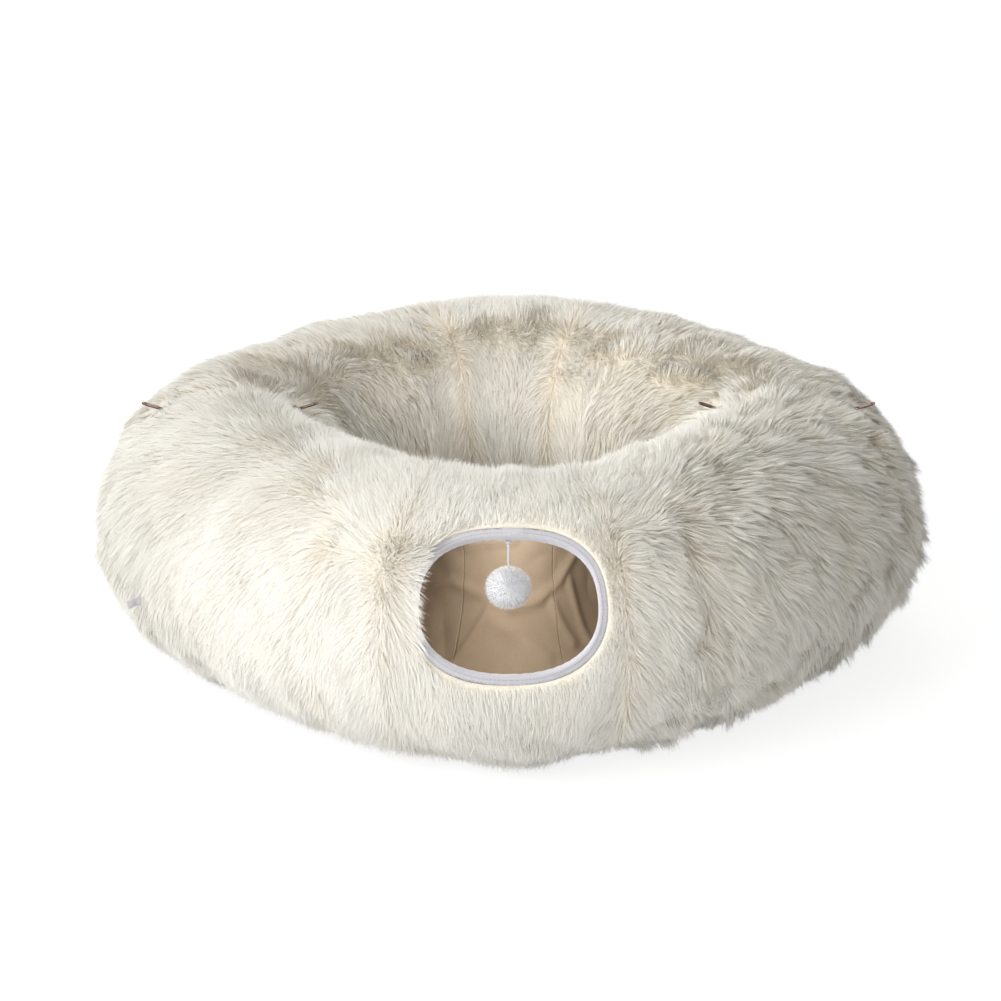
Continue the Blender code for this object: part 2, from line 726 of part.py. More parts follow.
def make_mat_tabs(cloth):
    """Short cloth tabs that hold the mat's edge to the ring, where the ring is nearest to it."""
    low = BASE_CLOTH + MAT_CORNER + TOUCH_GAP
    azimuth = side_stations(SIDES["right"], SIDE_STEPS)[MAT_TAB_STATION][0]
    start = MAT_RADIUS + TOUCH_GAP
    reach = mat_tab_reach(azimuth, low + MAT_TAB_THICKNESS) - MAT_TAB_PLAY
    half_width = MAT_TAB_WIDTH / 2
    corners = [(half, sign) for half in HALVES.values() for sign in SIDES.values()]
    for i, (half, sign) in enumerate(corners):
        mesh = box((start, -half_width, 0), (reach, half_width, MAT_TAB_THICKNESS))
        tab = add_object(f"mat_tab_{i + 1}", mesh, cloth, smooth=False)
        tab.location = (0, 0, low)
        tab.rotation_euler = (0, 0, math.atan2(half * math.cos(azimuth), sign * math.sin(azimuth)))


def make_side_tab(cloth):
    """A bare tab of tape, sewn in on the left, square to the strip of the cover just below its widest line."""
    azimuth = side_stations(SIDES["left"], SIDE_STEPS)[TAB_STATION][0]
    frame = frame_at(FRONT, azimuth)
    low_angle = -2 * math.pi / SECTION_POINTS
    low, high = [section_point(frame, angle, pile_radius(azimuth, angle)) for angle in (low_angle, 0)]
    size = (TAB_LENGTH, TAB_THICKNESS / 2, TAB_HEIGHT / 2)
    tab = add_object("side_tab", box((TOUCH_GAP, -size[1], -size[2]), size), cloth, smooth=False)
    tab.location = (low + high) / 2
    heading = math.atan2(frame[1].y, frame[1].x)
    tilt = Matrix.Rotation(heading, 4, "Z") @ Matrix.Rotation(-low_angle / 2, 4, "Y")
    tab.rotation_euler = tilt.to_euler()


def main():
    for thing in list(bpy.data.objects):
        bpy.data.objects.remove(thing)
    plush = material("ivory_plush", (0.86, 0.84, 0.77), 0.95)
    lining = material("tan_lining", (0.42, 0.29, 0.18), 0.85)
    steel = material("spring_steel", (0.55, 0.56, 0.58), 0.35, 1.0)
    tape = material("white_tape", (0.80, 0.80, 0.88), 0.8)
    zip_tape = material("zip_tape", (0.62, 0.66, 0.72), 0.8)
    cord = material("white_cord", (0.90, 0.90, 0.92), 0.85)
    bronze = material("dark_bronze", (0.09, 0.045, 0.03), 0.38, 1.0)
    fluff = material("white_fluff", (0.90, 0.90, 0.92), 0.95)
    foam = material("foam", (0.75, 0.74, 0.70), 0.9)
    make_covers(plush)
    make_linings(lining)
    make_hoops(steel)
    make_bindings(tape)
    make_tapes(zip_tape)
    make_zip_pieces(bronze)
    make_pompom(tape, cord, fluff)
    make_mat(plush, foam, lining)
    make_mat_tabs(tape)
    make_side_tab(tape)


main()
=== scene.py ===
import math

import bpy
import numpy as np
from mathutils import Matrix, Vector
from mathutils.kdtree import KDTree


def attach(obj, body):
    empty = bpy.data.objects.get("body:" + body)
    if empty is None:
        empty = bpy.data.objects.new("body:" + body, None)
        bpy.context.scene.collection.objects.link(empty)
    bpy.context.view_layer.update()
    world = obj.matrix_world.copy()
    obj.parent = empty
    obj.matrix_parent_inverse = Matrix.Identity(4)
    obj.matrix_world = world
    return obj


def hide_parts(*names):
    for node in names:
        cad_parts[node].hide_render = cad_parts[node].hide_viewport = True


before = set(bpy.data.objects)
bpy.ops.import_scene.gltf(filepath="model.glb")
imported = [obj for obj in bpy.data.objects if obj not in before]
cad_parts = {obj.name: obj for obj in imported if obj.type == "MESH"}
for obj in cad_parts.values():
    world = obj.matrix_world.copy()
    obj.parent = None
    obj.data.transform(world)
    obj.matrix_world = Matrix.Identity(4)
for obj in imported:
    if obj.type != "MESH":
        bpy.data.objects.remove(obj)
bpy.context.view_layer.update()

# Sizes of the tunnel, as in the solids
RING_RADIUS = 0.294
RING_CORNERS = 4
CORNER_SHARE = 0.045
BORE_RADIUS = 0.125
BACKING_RADIUS = 0.1301
PILE_RADIUS = 0.1466
AXIS_HEIGHT = 0.1391
QUARTER_TURN = math.radians(90)
SEAM_AZIMUTH = math.radians(16)
MIDDLE_AZIMUTH = (SEAM_AZIMUTH + QUARTER_TURN) / 2
SEAM_DEPTH = 0.006
SEAM_SPREAD = 0.022
PLEAT_AZIMUTH = math.radians(28)
PLEAT_DEPTH = 0.006
PLEAT_SPREAD = 0.014
PLEAT_TILT = math.radians(-20)
GATHERS = 20
GATHER_DEPTH = 0.011
GATHER_ANGLE = math.radians(145)
DRAWN_MOST = 0.0125
GROOVE_HALF = 0.00855
COLLAR_LENGTH = 0.012
COLLAR_START = GROOVE_HALF + COLLAR_LENGTH
RUN_END = QUARTER_TURN + COLLAR_LENGTH / RING_RADIUS
HALVES = {"front": -1, "rear": 1}
SIDES = {"left": -1, "right": 1}
PANELS = {"centre": 0, **SIDES}

# Entrance
ENTRANCE_TILT = math.radians(28)
ENTRANCE_HALF_WIDTH = 0.0955
ENTRANCE_HALF_HEIGHT = 0.079
ENTRANCE_ROUNDNESS = 2.4
ENTRANCE_ARM = RING_RADIUS + BACKING_RADIUS * math.cos(ENTRANCE_TILT)
BINDING_WIDTH = 0.0088
BINDING_TAPE = 0.0014
BINDING_LOW = 0.1217
BINDING_HIGH = 0.1298
STITCH_RADIUS = 0.00036
COVER_INSET = 0.0006
LINING_INSET = 0.0082

# Lining
LINING_THICKNESS = 0.0010
CREASES = [  # line of (run, degrees) places, height, spread
    ([(-0.30, 232), (-0.20, 214), (-0.11, 198)], 0.0030, 0.0035),
    ([(-0.62, 197), (-0.37, 190), (-0.16, 193)], 0.0035, 0.0070),
    ([(0.02, 199), (0.18, 196), (0.32, 189), (0.52, 171)], 0.0045, 0.0060),
    ([(0.27, 199), (0.30, 208), (0.36, 220)], 0.0040, 0.0050),
    ([(0.40, 190), (0.43, 206), (0.46, 222)], 0.0035, 0.0050),
    ([(-0.10, 205), (0.05, 212), (0.20, 224)], 0.0025, 0.0080),
    ([(-0.55, 160), (-0.30, 168), (0.02, 163)], 0.0030, 0.0080),
]

# Camera and lamps
VIEW_ELEVATION = math.radians(21)
VIEW_DISTANCE = 3.2
VIEW_TARGET_HEIGHT = 0.139
FOCAL_LENGTH = 107.5
PHOTO_SIZE = 1001
SHIFT_RIGHT_PX = 8.0
SHIFT_DOWN_PX = 8.5
LAMPS = {  # place, diameter, watts
    "key": ((-2.45, -2.3, 2.0), 2.4, 103.0),
    "front": ((-0.6, -3.3, 0.7), 1.4, 26.0),
    "top": ((0.1, -0.2, 3.2), 2.6, 11.0),
    "back": ((-0.4, 3.0, 2.2), 2.4, 40.0),
}
SEEPS = {  # place, radius, watts
    "seep_front": ((0, -0.285, 0.20), 0.05, 0.8),
    "seep_rear": ((0, 0.285, 0.20), 0.05, 0.8),
    "seep_well": ((0, -0.03, 0.34), 0.10, 0.55),
}
FLOOR_HALF = 9.0
WHITE = (1, 1, 1)

# Pom-pom
HANG = Vector((0, -0.354355, 0.237708))
KNOT_RADIUS = 0.0016
CORD_GAP = 0.0003
CORD_LENGTH = 0.038
CORD_DIAMETER = 0.0020
POMPOM_RADIUS = 0.0200
STRING_END_HEIGHT = 0.0030
CORE_RADIUS = 0.0125
POMPOM_STRANDS = 24000
POMPOM_SQUASH = (1.06, 1.06, 0.98)
FLUFF_WIDTH = 0.00042

# Mat
MAT_RADIUS = 0.165
MAT_BASE = 0.0015
MAT_TOP = 0.0251
MAT_CROWN = 0.0050
MAT_CHANNEL_SHARE = 0.72
MAT_ROUND = 0.012
MAT_FOAM_TOP = 0.0171
MAT_SKIN = 0.0025
MAT_STRANDS = 20000
MAT_STRAND_WIDTH = 0.0010
PIPING_RADIUS = 0.0018
STRIP_STEP = 0.0008

# Zip
ROW_SPACING = 0.0015
ROW_WIDTH = 0.0022
ROW_RISE = 0.0014
TAPE_WIDTH = 0.0150
TAPE_OUTER = 0.1282
TAPE_INNER = 0.1270
COIL_PITCH = 0.0015
COIL_WIRE = 0.00030
COIL_STEPS = 6

# Fur
FUR_DEPTH = 0.0105
FUR_LENGTH = 0.0215
FUR_WIDTH = 0.00056
FUR_SECTORS = {"front": (9, 560000), "rear": (7, 420000)}  # count, and strands for each square metre
STRAND_LEVELS = np.array([0.0, 0.52, 1.0])
WIDTH_SHARES = np.array([1.0, 0.85])
STRAND_LOWEST = 0.0010
ROOT_DEPTH = 0.0008
UNDERCOAT_LOWEST = 0.0008
UNDERCOAT_THICKNESS = 0.0025
SLIDER_ANGLES = (math.radians(58), math.radians(122))
WHORL_RUN = -0.31
LUMP_SIZE = 0.017
LUMP_SEED = 33
JOINT_CLEARANCE = 0.0048
CROWN_PARTING = math.radians(112)
FRONT_PARTING = math.radians(26)
SPREAD_STEPS = (0.7548776662466927, 0.5698402909980532)
GOLDEN_STEP = 0.6180339887498949


def linked(name, data):
    """A new object of the scene."""
    made = bpy.data.objects.new(name, data)
    bpy.context.scene.collection.objects.link(made)
    return made


def facing(direction):
    """Rotation that points a camera or a lamp in a direction."""
    return direction.to_track_quat("-Z", "Y").to_euler()


def camera_and_light():
    """The photograph's view, four large soft lamps, and three small ones for light that seeps through the cloth."""
    scene = bpy.context.scene
    target = Vector((0, 0, VIEW_TARGET_HEIGHT))
    back = Vector((0, -math.cos(VIEW_ELEVATION), math.sin(VIEW_ELEVATION)))
    data = bpy.data.cameras.new("camera")
    data.lens = FOCAL_LENGTH
    data.shift_x = -SHIFT_RIGHT_PX / PHOTO_SIZE
    data.shift_y = SHIFT_DOWN_PX / PHOTO_SIZE
    camera = linked("camera", data)
    camera.location = target + back * VIEW_DISTANCE
    camera.rotation_euler = facing(-back)
    scene.camera = camera
    scene.view_settings.view_transform = "Standard"

    for name, (place, size, watts) in {**SEEPS, **LAMPS}.items():
        lamp = bpy.data.lights.new(name, "AREA" if name in LAMPS else "POINT")
        lamp.energy = watts
        holder = linked(name, lamp)
        holder.location = place
        holder.visible_camera = False
        if name in LAMPS:
            lamp.shape = "DISK"
            lamp.size = size
            holder.rotation_euler = facing(target - Vector(place))
        else:
            lamp.shadow_soft_size = size


def fill(tree, node, inputs):
    """Sets a node's inputs to numbers or colours, or links them to sockets."""
    for name, value in inputs.items():
        if isinstance(value, bpy.types.NodeSocket):
            tree.links.new(value, node.inputs[name])
        else:
            node.inputs[name].default_value = (*value, 1) if isinstance(value, tuple) else value
    return node


def add_node(tree, kind, inputs=None):
    """A new shader node."""
    return fill(tree, tree.nodes.new("ShaderNode" + kind), inputs or {})


def emptied(data):
    """The node tree of a world or a material, without its nodes."""
    data.use_nodes = True
    data.node_tree.nodes.clear()
    return data.node_tree


def seen_directly(tree):
    """1 for rays from the camera, off gloss or through glass, and 0 for light that falls on the object."""
    path = add_node(tree, "LightPath").outputs
    most = path["Is Camera Ray"]
    for output in ("Is Glossy Ray", "Is Transmission Ray"):
        step = add_node(tree, "Math", {0: most, 1: path[output]})
        step.operation = "MAXIMUM"
        most = step.outputs[0]
    return most


def output_by_ray(tree, kind, lit, shown):
    """Ends a tree with one shader for light that falls on the object, and one for what is seen directly."""
    mix = add_node(tree, "MixShader", {0: seen_directly(tree), 1: lit.outputs[0], 2: shown.outputs[0]})
    add_node(tree, kind, {"Surface": mix.outputs[0]})


def surroundings():
    """A white surround, and a pale floor that keeps the object's shadow."""
    world = bpy.data.worlds.new("surround")
    bpy.context.scene.world = world
    tree = emptied(world)
    shown = add_node(tree, "Background", {"Color": WHITE})
    lit = add_node(tree, "Background", {"Color": (1.0, 0.985, 0.96), "Strength": 0.39})
    output_by_ray(tree, "OutputWorld", lit, shown)

    data = bpy.data.materials.new("floor")
    tree = emptied(data)
    pale = add_node(tree, "BsdfDiffuse", {"Color": (0.80, 0.80, 0.80)})
    faint = add_node(tree, "BsdfDiffuse", {"Color": (0.26, 0.26, 0.26)})
    glow = add_node(tree, "Emission", {"Color": WHITE, "Strength": 0.84})
    both = add_node(tree, "AddShader", {0: faint.outputs[0], 1: glow.outputs[0]})
    output_by_ray(tree, "OutputMaterial", pale, both)
    corners = [(x * FLOOR_HALF, y * FLOOR_HALF, 0) for x, y in ((-1, -1), (1, -1), (1, 1), (-1, 1))]
    mesh = bpy.data.meshes.new("floor")
    mesh.from_pydata(corners, [], [(0, 1, 2, 3)])
    mesh.materials.append(data)
    linked("floor", mesh)


def new_look(name, roughness, metallic=0.0, sheen=0.0):
    """A material, its node tree and its shader."""
    data = bpy.data.materials.new(name)
    data.use_nodes = True
    tree = data.node_tree
    specular = 0.5 if metallic else 0.2
    values = {"Roughness": roughness, "Metallic": metallic, "Specular IOR Level": specular, "Sheen Weight": sheen}
    return data, tree, fill(tree, tree.nodes["Principled BSDF"], values)


def in_object(tree, kind, values):
    """A texture in the object's own metres."""
    return add_node(tree, kind, {"Vector": add_node(tree, "TexCoord").outputs["Object"], **values})


def noise(tree, scale, detail=3.0, distortion=0.0):
    """Noise from 0 to 1: scale is features per metre."""
    values = {"Scale": scale, "Detail": detail, "Distortion": distortion}
    return in_object(tree, "TexNoise", values).outputs["Fac"]


def ramp(tree, value, stops):
    """A colour ramp through (position, colour) stops."""
    made = add_node(tree, "ValToRGB", {"Fac": value})
    band = made.color_ramp.elements
    band.remove(band[-1])
    band[0].position = stops[0][0]
    band[0].color = (*stops[0][1], 1)
    for position, colour in stops[1:]:
        band.new(position).color = (*colour, 1)
    return made.outputs["Color"]


def blended(tree, kind, amount, first, second):
    """Two colours in one. Inputs 6 and 7 and output 2 are the mix node's colours."""
    made = tree.nodes.new("ShaderNodeMix")
    made.data_type = "RGBA"
    made.blend_type = kind
    return fill(tree, made, {0: amount, 6: first, 7: second}).outputs[2]


def tinted(tree, colour, value, stops):
    """A colour multiplied by a colour ramp."""
    return blended(tree, "MULTIPLY", 1.0, colour, ramp(tree, value, stops))


def scaled(tree, value, low, high):
    """A value from 0 to 1, carried to a range."""
    return add_node(tree, "MapRange", {"Value": value, "To Min": low, "To Max": high}).outputs["Result"]


def bump(tree, shader, height, strength, distance):
    """Relief in a shader's normals."""
    made = add_node(tree, "Bump", {"Height": height, "Strength": strength, "Distance": distance})
    tree.links.new(made.outputs["Normal"], shader.inputs["Normal"])


def attribute(tree, name):
    """A value that the mesh has at each point."""
    made = add_node(tree, "Attribute")
    made.attribute_name = name
    return made.outputs["Fac"]


def threads(tree, scale):
    """A weave: two crossed waves, as one height from 0 to 1."""
    made = add_node(tree, "Math")
    made.operation = "MULTIPLY"
    for i, direction in enumerate("XZ"):
        wave = in_object(tree, "TexWave", {"Scale": scale, "Distortion": 0.6, "Detail": 1.0})
        wave.bands_direction = direction
        tree.links.new(wave.outputs["Fac"], made.inputs[i])
    return made.outputs[0]


def fur_look(name, root, middle, tip, shade_and_tint_root, shade_and_tint_middle, sheen=0.12, painted_glow=0.0):
    """Strands: a little darker at the root as painted shade, pale at the tip, and warmer and darker by an attribute of
    painted shade and random tint. Emission of the tip colour can paint a glow on them.
    """
    data, tree, shader = new_look(name, 0.8, sheen=sheen)
    along = attribute(tree, "along")
    # Darker at the root: painted shade deep in the pile.
    plain = ramp(tree, along, [(0.0, root), (0.4, middle), (1.0, tip)])
    # Warmer, darker colours: painted shade on the ring's fur, a random tint on the mat's.
    warm_shade_and_tint = ramp(tree, along, [(0.0, shade_and_tint_root), (0.5, shade_and_tint_middle), (1.0, tip)])
    colour = blended(tree, "MIX", attribute(tree, "shade_and_tint_amount"), plain, warm_shade_and_tint)
    tones = [(0.0, (0.94, 0.935, 0.92)), (0.5, (0.985, 0.985, 0.98)), (1.0, WHITE)]
    colour = tinted(tree, colour, attribute(tree, "tone"), tones)
    colour = tinted(tree, colour, noise(tree, 26), [(0.3, (0.975, 0.97, 0.955)), (0.7, WHITE)])
    rough = scaled(tree, noise(tree, 900), 0.7, 0.95)
    # Emission of the tip colour: a painted glow.
    fill(tree, shader, {"Base Color": colour, "Roughness": rough, "Emission Color": tip, "Emission Strength": painted_glow})
    bump(tree, shader, noise(tree, 2600), 0.12, 0.0002)
    return data


def cloth_look(name, pale, dark, weave=1500, roughness=0.85, relief=0.6):
    """Cloth with a weave whose low places are painted darker as shade, soft patches of tone and a little fuzz."""
    data, tree, shader = new_look(name, roughness, sheen=0.1)
    height = threads(tree, weave)
    patches = noise(tree, 18, 4.0, 0.4)
    colour = ramp(tree, patches, [(0.3, dark), (0.7, pale)])
    # Painted shade: darker where the weave is low.
    colour = tinted(tree, colour, height, [(0.0, (0.86, 0.85, 0.84)), (1.0, WHITE)])
    colour = tinted(tree, colour, noise(tree, 700), [(0.35, (0.93, 0.93, 0.92)), (0.65, WHITE)])
    rough = scaled(tree, patches, roughness - 0.1, roughness + 0.1)
    fill(tree, shader, {"Base Color": colour, "Roughness": rough})
    bump(tree, shader, height, relief, 0.0003)
    return data


def woolly_look(name, pale, dark):
    """The short undercoat that shows between the strands, painted darker in the low places of its lumps as shade."""
    data, tree, shader = new_look(name, 0.95, sheen=0.2)
    lumps = noise(tree, 420, 5.0, 0.6)
    # Painted shade: darker where the lumps that raise the bump are low.
    colour = ramp(tree, lumps, [(0.3, dark), (0.68, pale)])
    colour = tinted(tree, colour, noise(tree, 22), [(0.3, (0.94, 0.93, 0.90)), (0.7, WHITE)])
    fill(tree, shader, {"Base Color": colour, "Roughness": scaled(tree, lumps, 0.85, 1.0)})
    bump(tree, shader, lumps, 0.8, 0.0015)
    return data


def metal_look(name, colour, worn, roughness):
    """Plated metal, rubbed lighter in places."""
    data, tree, shader = new_look(name, roughness, metallic=1.0)
    wear = noise(tree, 260, 6.0, 0.5)
    rough = scaled(tree, wear, roughness - 0.1, roughness + 0.18)
    fill(tree, shader, {"Base Color": ramp(tree, wear, [(0.45, colour), (0.72, worn)]), "Roughness": rough})
    bump(tree, shader, noise(tree, 3000), 0.15, 0.0001)
    return data


def make_looks():
    """The materials. Fur has colours for root, middle and tip, the root darker as painted shade, and warmer, darker
    ones for root and middle, which paint shade into the ring's pile and a random tint into the mat's.
    """
    ivory = (0.88, 0.84, 0.74), (0.945, 0.922, 0.86), (0.97, 0.96, 0.918), (0.83, 0.70, 0.52), (0.935, 0.885, 0.78)
    oatmeal = (0.84, 0.79, 0.69), (0.93, 0.905, 0.85), (0.96, 0.95, 0.915), (0.80, 0.70, 0.55), (0.92, 0.88, 0.79)
    fluff = (0.93, 0.94, 0.98), (0.96, 0.97, 1.0), (0.98, 0.98, 1.0), (0.93, 0.94, 0.98), (0.96, 0.97, 1.0)
    return {
        "fur": fur_look("ivory_fur", *ivory),
        "mat_fur": fur_look("mat_fur", *oatmeal),
        # The undercoat is a darker ivory than the strands: painted shade deep in the pile.
        "wool": woolly_look("undercoat", (0.88, 0.84, 0.75), (0.80, 0.74, 0.63)),
        "lining": cloth_look("tan_cloth", (0.47, 0.38, 0.28), (0.40, 0.315, 0.225), weave=900, relief=0.25),
        "tape": cloth_look("white_tape_cloth", (0.90, 0.90, 0.955), (0.84, 0.84, 0.915), weave=1300, relief=0.9),
        "thread": cloth_look("white_thread", (0.72, 0.72, 0.80), (0.62, 0.62, 0.71), weave=2600),
        "zip_tape": cloth_look("zip_cloth", (0.60, 0.65, 0.72), (0.50, 0.55, 0.62)),
        "coil": cloth_look("nylon_coil", (0.66, 0.70, 0.76), (0.56, 0.60, 0.67), roughness=0.45, relief=0.1),
        "string": cloth_look("white_string", (0.88, 0.88, 0.93), (0.78, 0.78, 0.85), weave=1800),
        # The pom-pom's strands glow a little: painted light, standing in for light on it where it hangs in the
        # entrance's shade.
        "fluff": fur_look("white_fluff_strands", *fluff, sheen=0.6, painted_glow=0.13),
        "bronze": metal_look("dark_bronze_plate", (0.060, 0.034, 0.025), (0.22, 0.12, 0.065), 0.36),
        "steel": metal_look("spring_steel_wire", (0.52, 0.53, 0.55), (0.66, 0.67, 0.68), 0.35),
        "base": cloth_look("base_cloth", (0.44, 0.33, 0.225), (0.36, 0.265, 0.18), weave=1100),
        "foam": woolly_look("foam_fill", (0.74, 0.72, 0.66), (0.62, 0.60, 0.54)),
        "fluff_core": woolly_look("fluff_core", (0.93, 0.93, 0.98), (0.84, 0.84, 0.92)),
    }


def circle(count):
    """Angles evenly round a circle."""
    return np.linspace(0, math.tau, count, endpoint=False)


def polar(radius, turn, height):
    """Points at a distance and a turn about an upright axis."""
    return np.stack(np.broadcast_arrays(radius * np.cos(turn), radius * np.sin(turn), height), axis=-1)


def unit(vectors):
    """Vectors brought to length 1."""
    return vectors / (np.linalg.norm(vectors, axis=-1, keepdims=True) + 1e-9)


def eased(share):
    share = np.clip(share, 0, 1)
    return share * share * (3 - 2 * share)


def fold(distance, spread):
    return np.exp(-((distance / spread) ** 2))


def ripple(points, size, seed, waves=7):
    """Smooth noise from about -1 to 1, with features of a size in metres."""
    rng = np.random.default_rng(seed)
    total = np.zeros(points.shape[:-1])
    for _ in range(waves):
        heading = rng.normal(size=3)
        heading *= rng.uniform(0.6, 1.4) / np.linalg.norm(heading)
        total += np.sin(points @ (heading * math.pi / size) + rng.uniform(0, math.tau))
    return total / math.sqrt(waves)


def plan_radius(azimuth):
    return RING_RADIUS * (1 + CORNER_SHARE * np.cos(RING_CORNERS * azimuth)) / (1 + CORNER_SHARE)


def wall(half, run, angle, radius):
    """Points of a tunnel wall. run is the azimuth, and past a quarter turn the way along the straight collar."""
    run, angle, radius = np.broadcast_arrays(run, angle, radius)
    size = np.abs(run)
    azimuth = np.minimum(size, QUARTER_TURN)
    setback = COLLAR_START * eased((azimuth - MIDDLE_AZIMUTH) / (QUARTER_TURN - MIDDLE_AZIMUTH))
    setback = setback - (size - azimuth) * RING_RADIUS
    reach = plan_radius(azimuth) + radius * np.cos(angle)
    x = np.sign(run) * reach * np.sin(azimuth)
    y = half * (reach * np.cos(azimuth) + setback)
    return np.stack([x, y, AXIS_HEIGHT + radius * np.sin(angle)], axis=-1)


def directions(half, run, angle):
    """Unit vectors at a place of the wall: along the ring, round the section, and outwards."""
    azimuth = np.clip(run, -QUARTER_TURN, QUARTER_TURN)
    sine, cosine = np.sin(azimuth), np.cos(azimuth)
    flat = np.zeros_like(azimuth)
    along = np.stack([cosine, -half * sine, flat], axis=-1)
    level = np.stack([sine, half * cosine, flat], axis=-1)
    up = np.array([0.0, 0.0, 1.0])
    turned = level * -np.sin(angle)[..., None] + up * np.cos(angle)[..., None]
    out = level * np.cos(angle)[..., None] + up * np.sin(angle)[..., None]
    return along, turned, out


def pile_surface(half, run, angle):
    """Radius of the combed plush: drawn in along its seams, pleated low, gathered inside the ring, uneven all over."""
    along = RING_RADIUS * np.abs(run)
    drawn = 0.0
    for seam, depth in ((SEAM_AZIMUTH, SEAM_DEPTH), (QUARTER_TURN, SEAM_DEPTH), (MIDDLE_AZIMUTH, SEAM_DEPTH / 2)):
        drawn = np.maximum(drawn, depth * fold(along - RING_RADIUS * seam, SEAM_SPREAD))
    low_outside = np.maximum(np.cos(angle - PLEAT_TILT), 0)
    drawn = drawn + PLEAT_DEPTH * low_outside * fold(along - RING_RADIUS * PLEAT_AZIMUTH, PLEAT_SPREAD)
    inside = np.maximum(np.cos(angle - GATHER_ANGLE), 0) ** 2
    drawn = drawn + GATHER_DEPTH * inside * (1 - np.cos(GATHERS * run)) / 2
    places = wall(half, run, angle, PILE_RADIUS)
    return PILE_RADIUS - np.minimum(drawn, DRAWN_MOST) + 0.002 * ripple(places, 0.06, 11)


def undercoat(half, run, angle):
    """Radius of the short wool that the strands grow from: sunk towards the tape at the entrance."""
    level = np.maximum(pile_surface(half, run, angle) - FUR_DEPTH, BACKING_RADIUS + 0.003)
    gap = (entrance_reach(run, angle) - 1) * ENTRANCE_HALF_HEIGHT
    sunk = level - (BACKING_RADIUS + 0.0022)
    return level - sunk * np.exp(-np.maximum(gap, 0) / 0.006) * (gap < 0.05)


def entrance_reach(run, angle, inset=0.0):
    """1 on the entrance's outline, less inside it and more outside."""
    across = np.abs(run) * ENTRANCE_ARM / (ENTRANCE_HALF_WIDTH - inset)
    upward = np.abs(angle - ENTRANCE_TILT) * BACKING_RADIUS / (ENTRANCE_HALF_HEIGHT - inset)
    return (across**ENTRANCE_ROUNDNESS + upward**ENTRANCE_ROUNDNESS) ** (1 / ENTRANCE_ROUNDNESS)


def add_piece(mesh, look, replaces=None, body="tunnel"):
    """A visible piece, named as its mesh is."""
    piece = linked(mesh.name, mesh)
    mesh.materials.append(look)
    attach(piece, body)
    if replaces:
        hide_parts(replaces)
    return piece


def turned_over(faces, over=True):
    return [tuple(face)[::-1] for face in faces] if over else faces


def loop_faces(rows, columns, ends=None):
    """Faces over rows of closed loops of points. The end loops are left open, capped or joined."""
    faces = []
    for i in range(rows if ends == "joined" else rows - 1):
        k = (i + 1) % rows
        for j in range(columns):
            n = (j + 1) % columns
            faces.append((i * columns + j, i * columns + n, k * columns + n, k * columns + j))
    if ends == "capped":
        faces += [tuple(range(columns))[::-1], tuple(range((rows - 1) * columns, rows * columns))]
    return faces


def mesh_from(name, points, faces, smooth=True):
    mesh = bpy.data.meshes.new(name)
    mesh.from_pydata(np.reshape(points, (-1, 3)).tolist(), [], faces)
    mesh.validate()
    if smooth:
        mesh.shade_smooth()
    return mesh


def loop_mesh(name, points, ends, over=False, smooth=True):
    """A mesh over an array of loops of points."""
    return mesh_from(name, points, turned_over(loop_faces(*points.shape[:2], ends), over), smooth)


def wall_mesh(name, half, runs, turns, radius, hole_inset):
    """One layer of a wall over a grid of runs and angles, with the entrance cut out if an inset is given."""
    run, angle = np.meshgrid(runs, circle(turns) - math.pi, indexing="ij")
    faces = turned_over(loop_faces(len(runs), turns), half < 0)
    used = np.ones(run.shape, dtype=bool)
    if hole_inset:
        reach = entrance_reach(run, angle, hole_inset)
        corners = np.array(faces)
        corners = corners[reach.ravel()[corners].mean(axis=1) > 1]
        uses = np.bincount(corners.ravel(), minlength=reach.size).reshape(reach.shape)
        used = uses > 0
        rim = used & (uses < 4) & (reach < 1.3)
        rim[[0, -1]] = False
        run[rim] /= reach[rim]
        angle[rim] = ENTRANCE_TILT + (angle[rim] - ENTRANCE_TILT) / reach[rim]
        faces = (np.cumsum(used) - 1)[corners].tolist()
    return mesh_from(name, wall(half, run, angle, radius(half, run, angle))[used], faces)


def thickened(piece, thickness):
    """Gives a single layer its cloth's thickness: inwards, or outwards if less than 0."""
    change = piece.modifiers.new("thickness", "SOLIDIFY")
    change.thickness = thickness
    change.offset = -1
    change.use_rim = True


def panel_runs(side, spacing):
    """Runs of a panel: the centre one, or a side's from its seam to the end of its collar."""
    if side == 0:
        start, end = -SEAM_AZIMUTH, SEAM_AZIMUTH
    else:
        start, end = sorted((side * SEAM_AZIMUTH, side * RUN_END))
    return np.linspace(start, end, round((end - start) * ENTRANCE_ARM / spacing) + 1)


def make_plush(looks):
    """The undercoat of each cover panel, just under the combed surface."""
    for end, half in HALVES.items():
        for place, side in PANELS.items():
            spacing, turns, hole = (0.006, 140, None) if side else (0.004, 200, COVER_INSET)
            mesh = wall_mesh(f"{end}_plush_{place}", half, panel_runs(side, spacing), turns, undercoat, hole)
            for vertex in mesh.vertices:
                vertex.co.z = max(vertex.co.z, UNDERCOAT_LOWEST)
            piece = add_piece(mesh, looks["wool"], f"{end}_cover_{place}")
            thickened(piece, UNDERCOAT_THICKNESS)


def strand_share():
    return 1


def swept(gap, width, reach):
    """How far the pile leans off a line, to both its sides, within a reach."""
    return np.tanh(gap / width) * np.exp(-np.abs(gap) / reach)


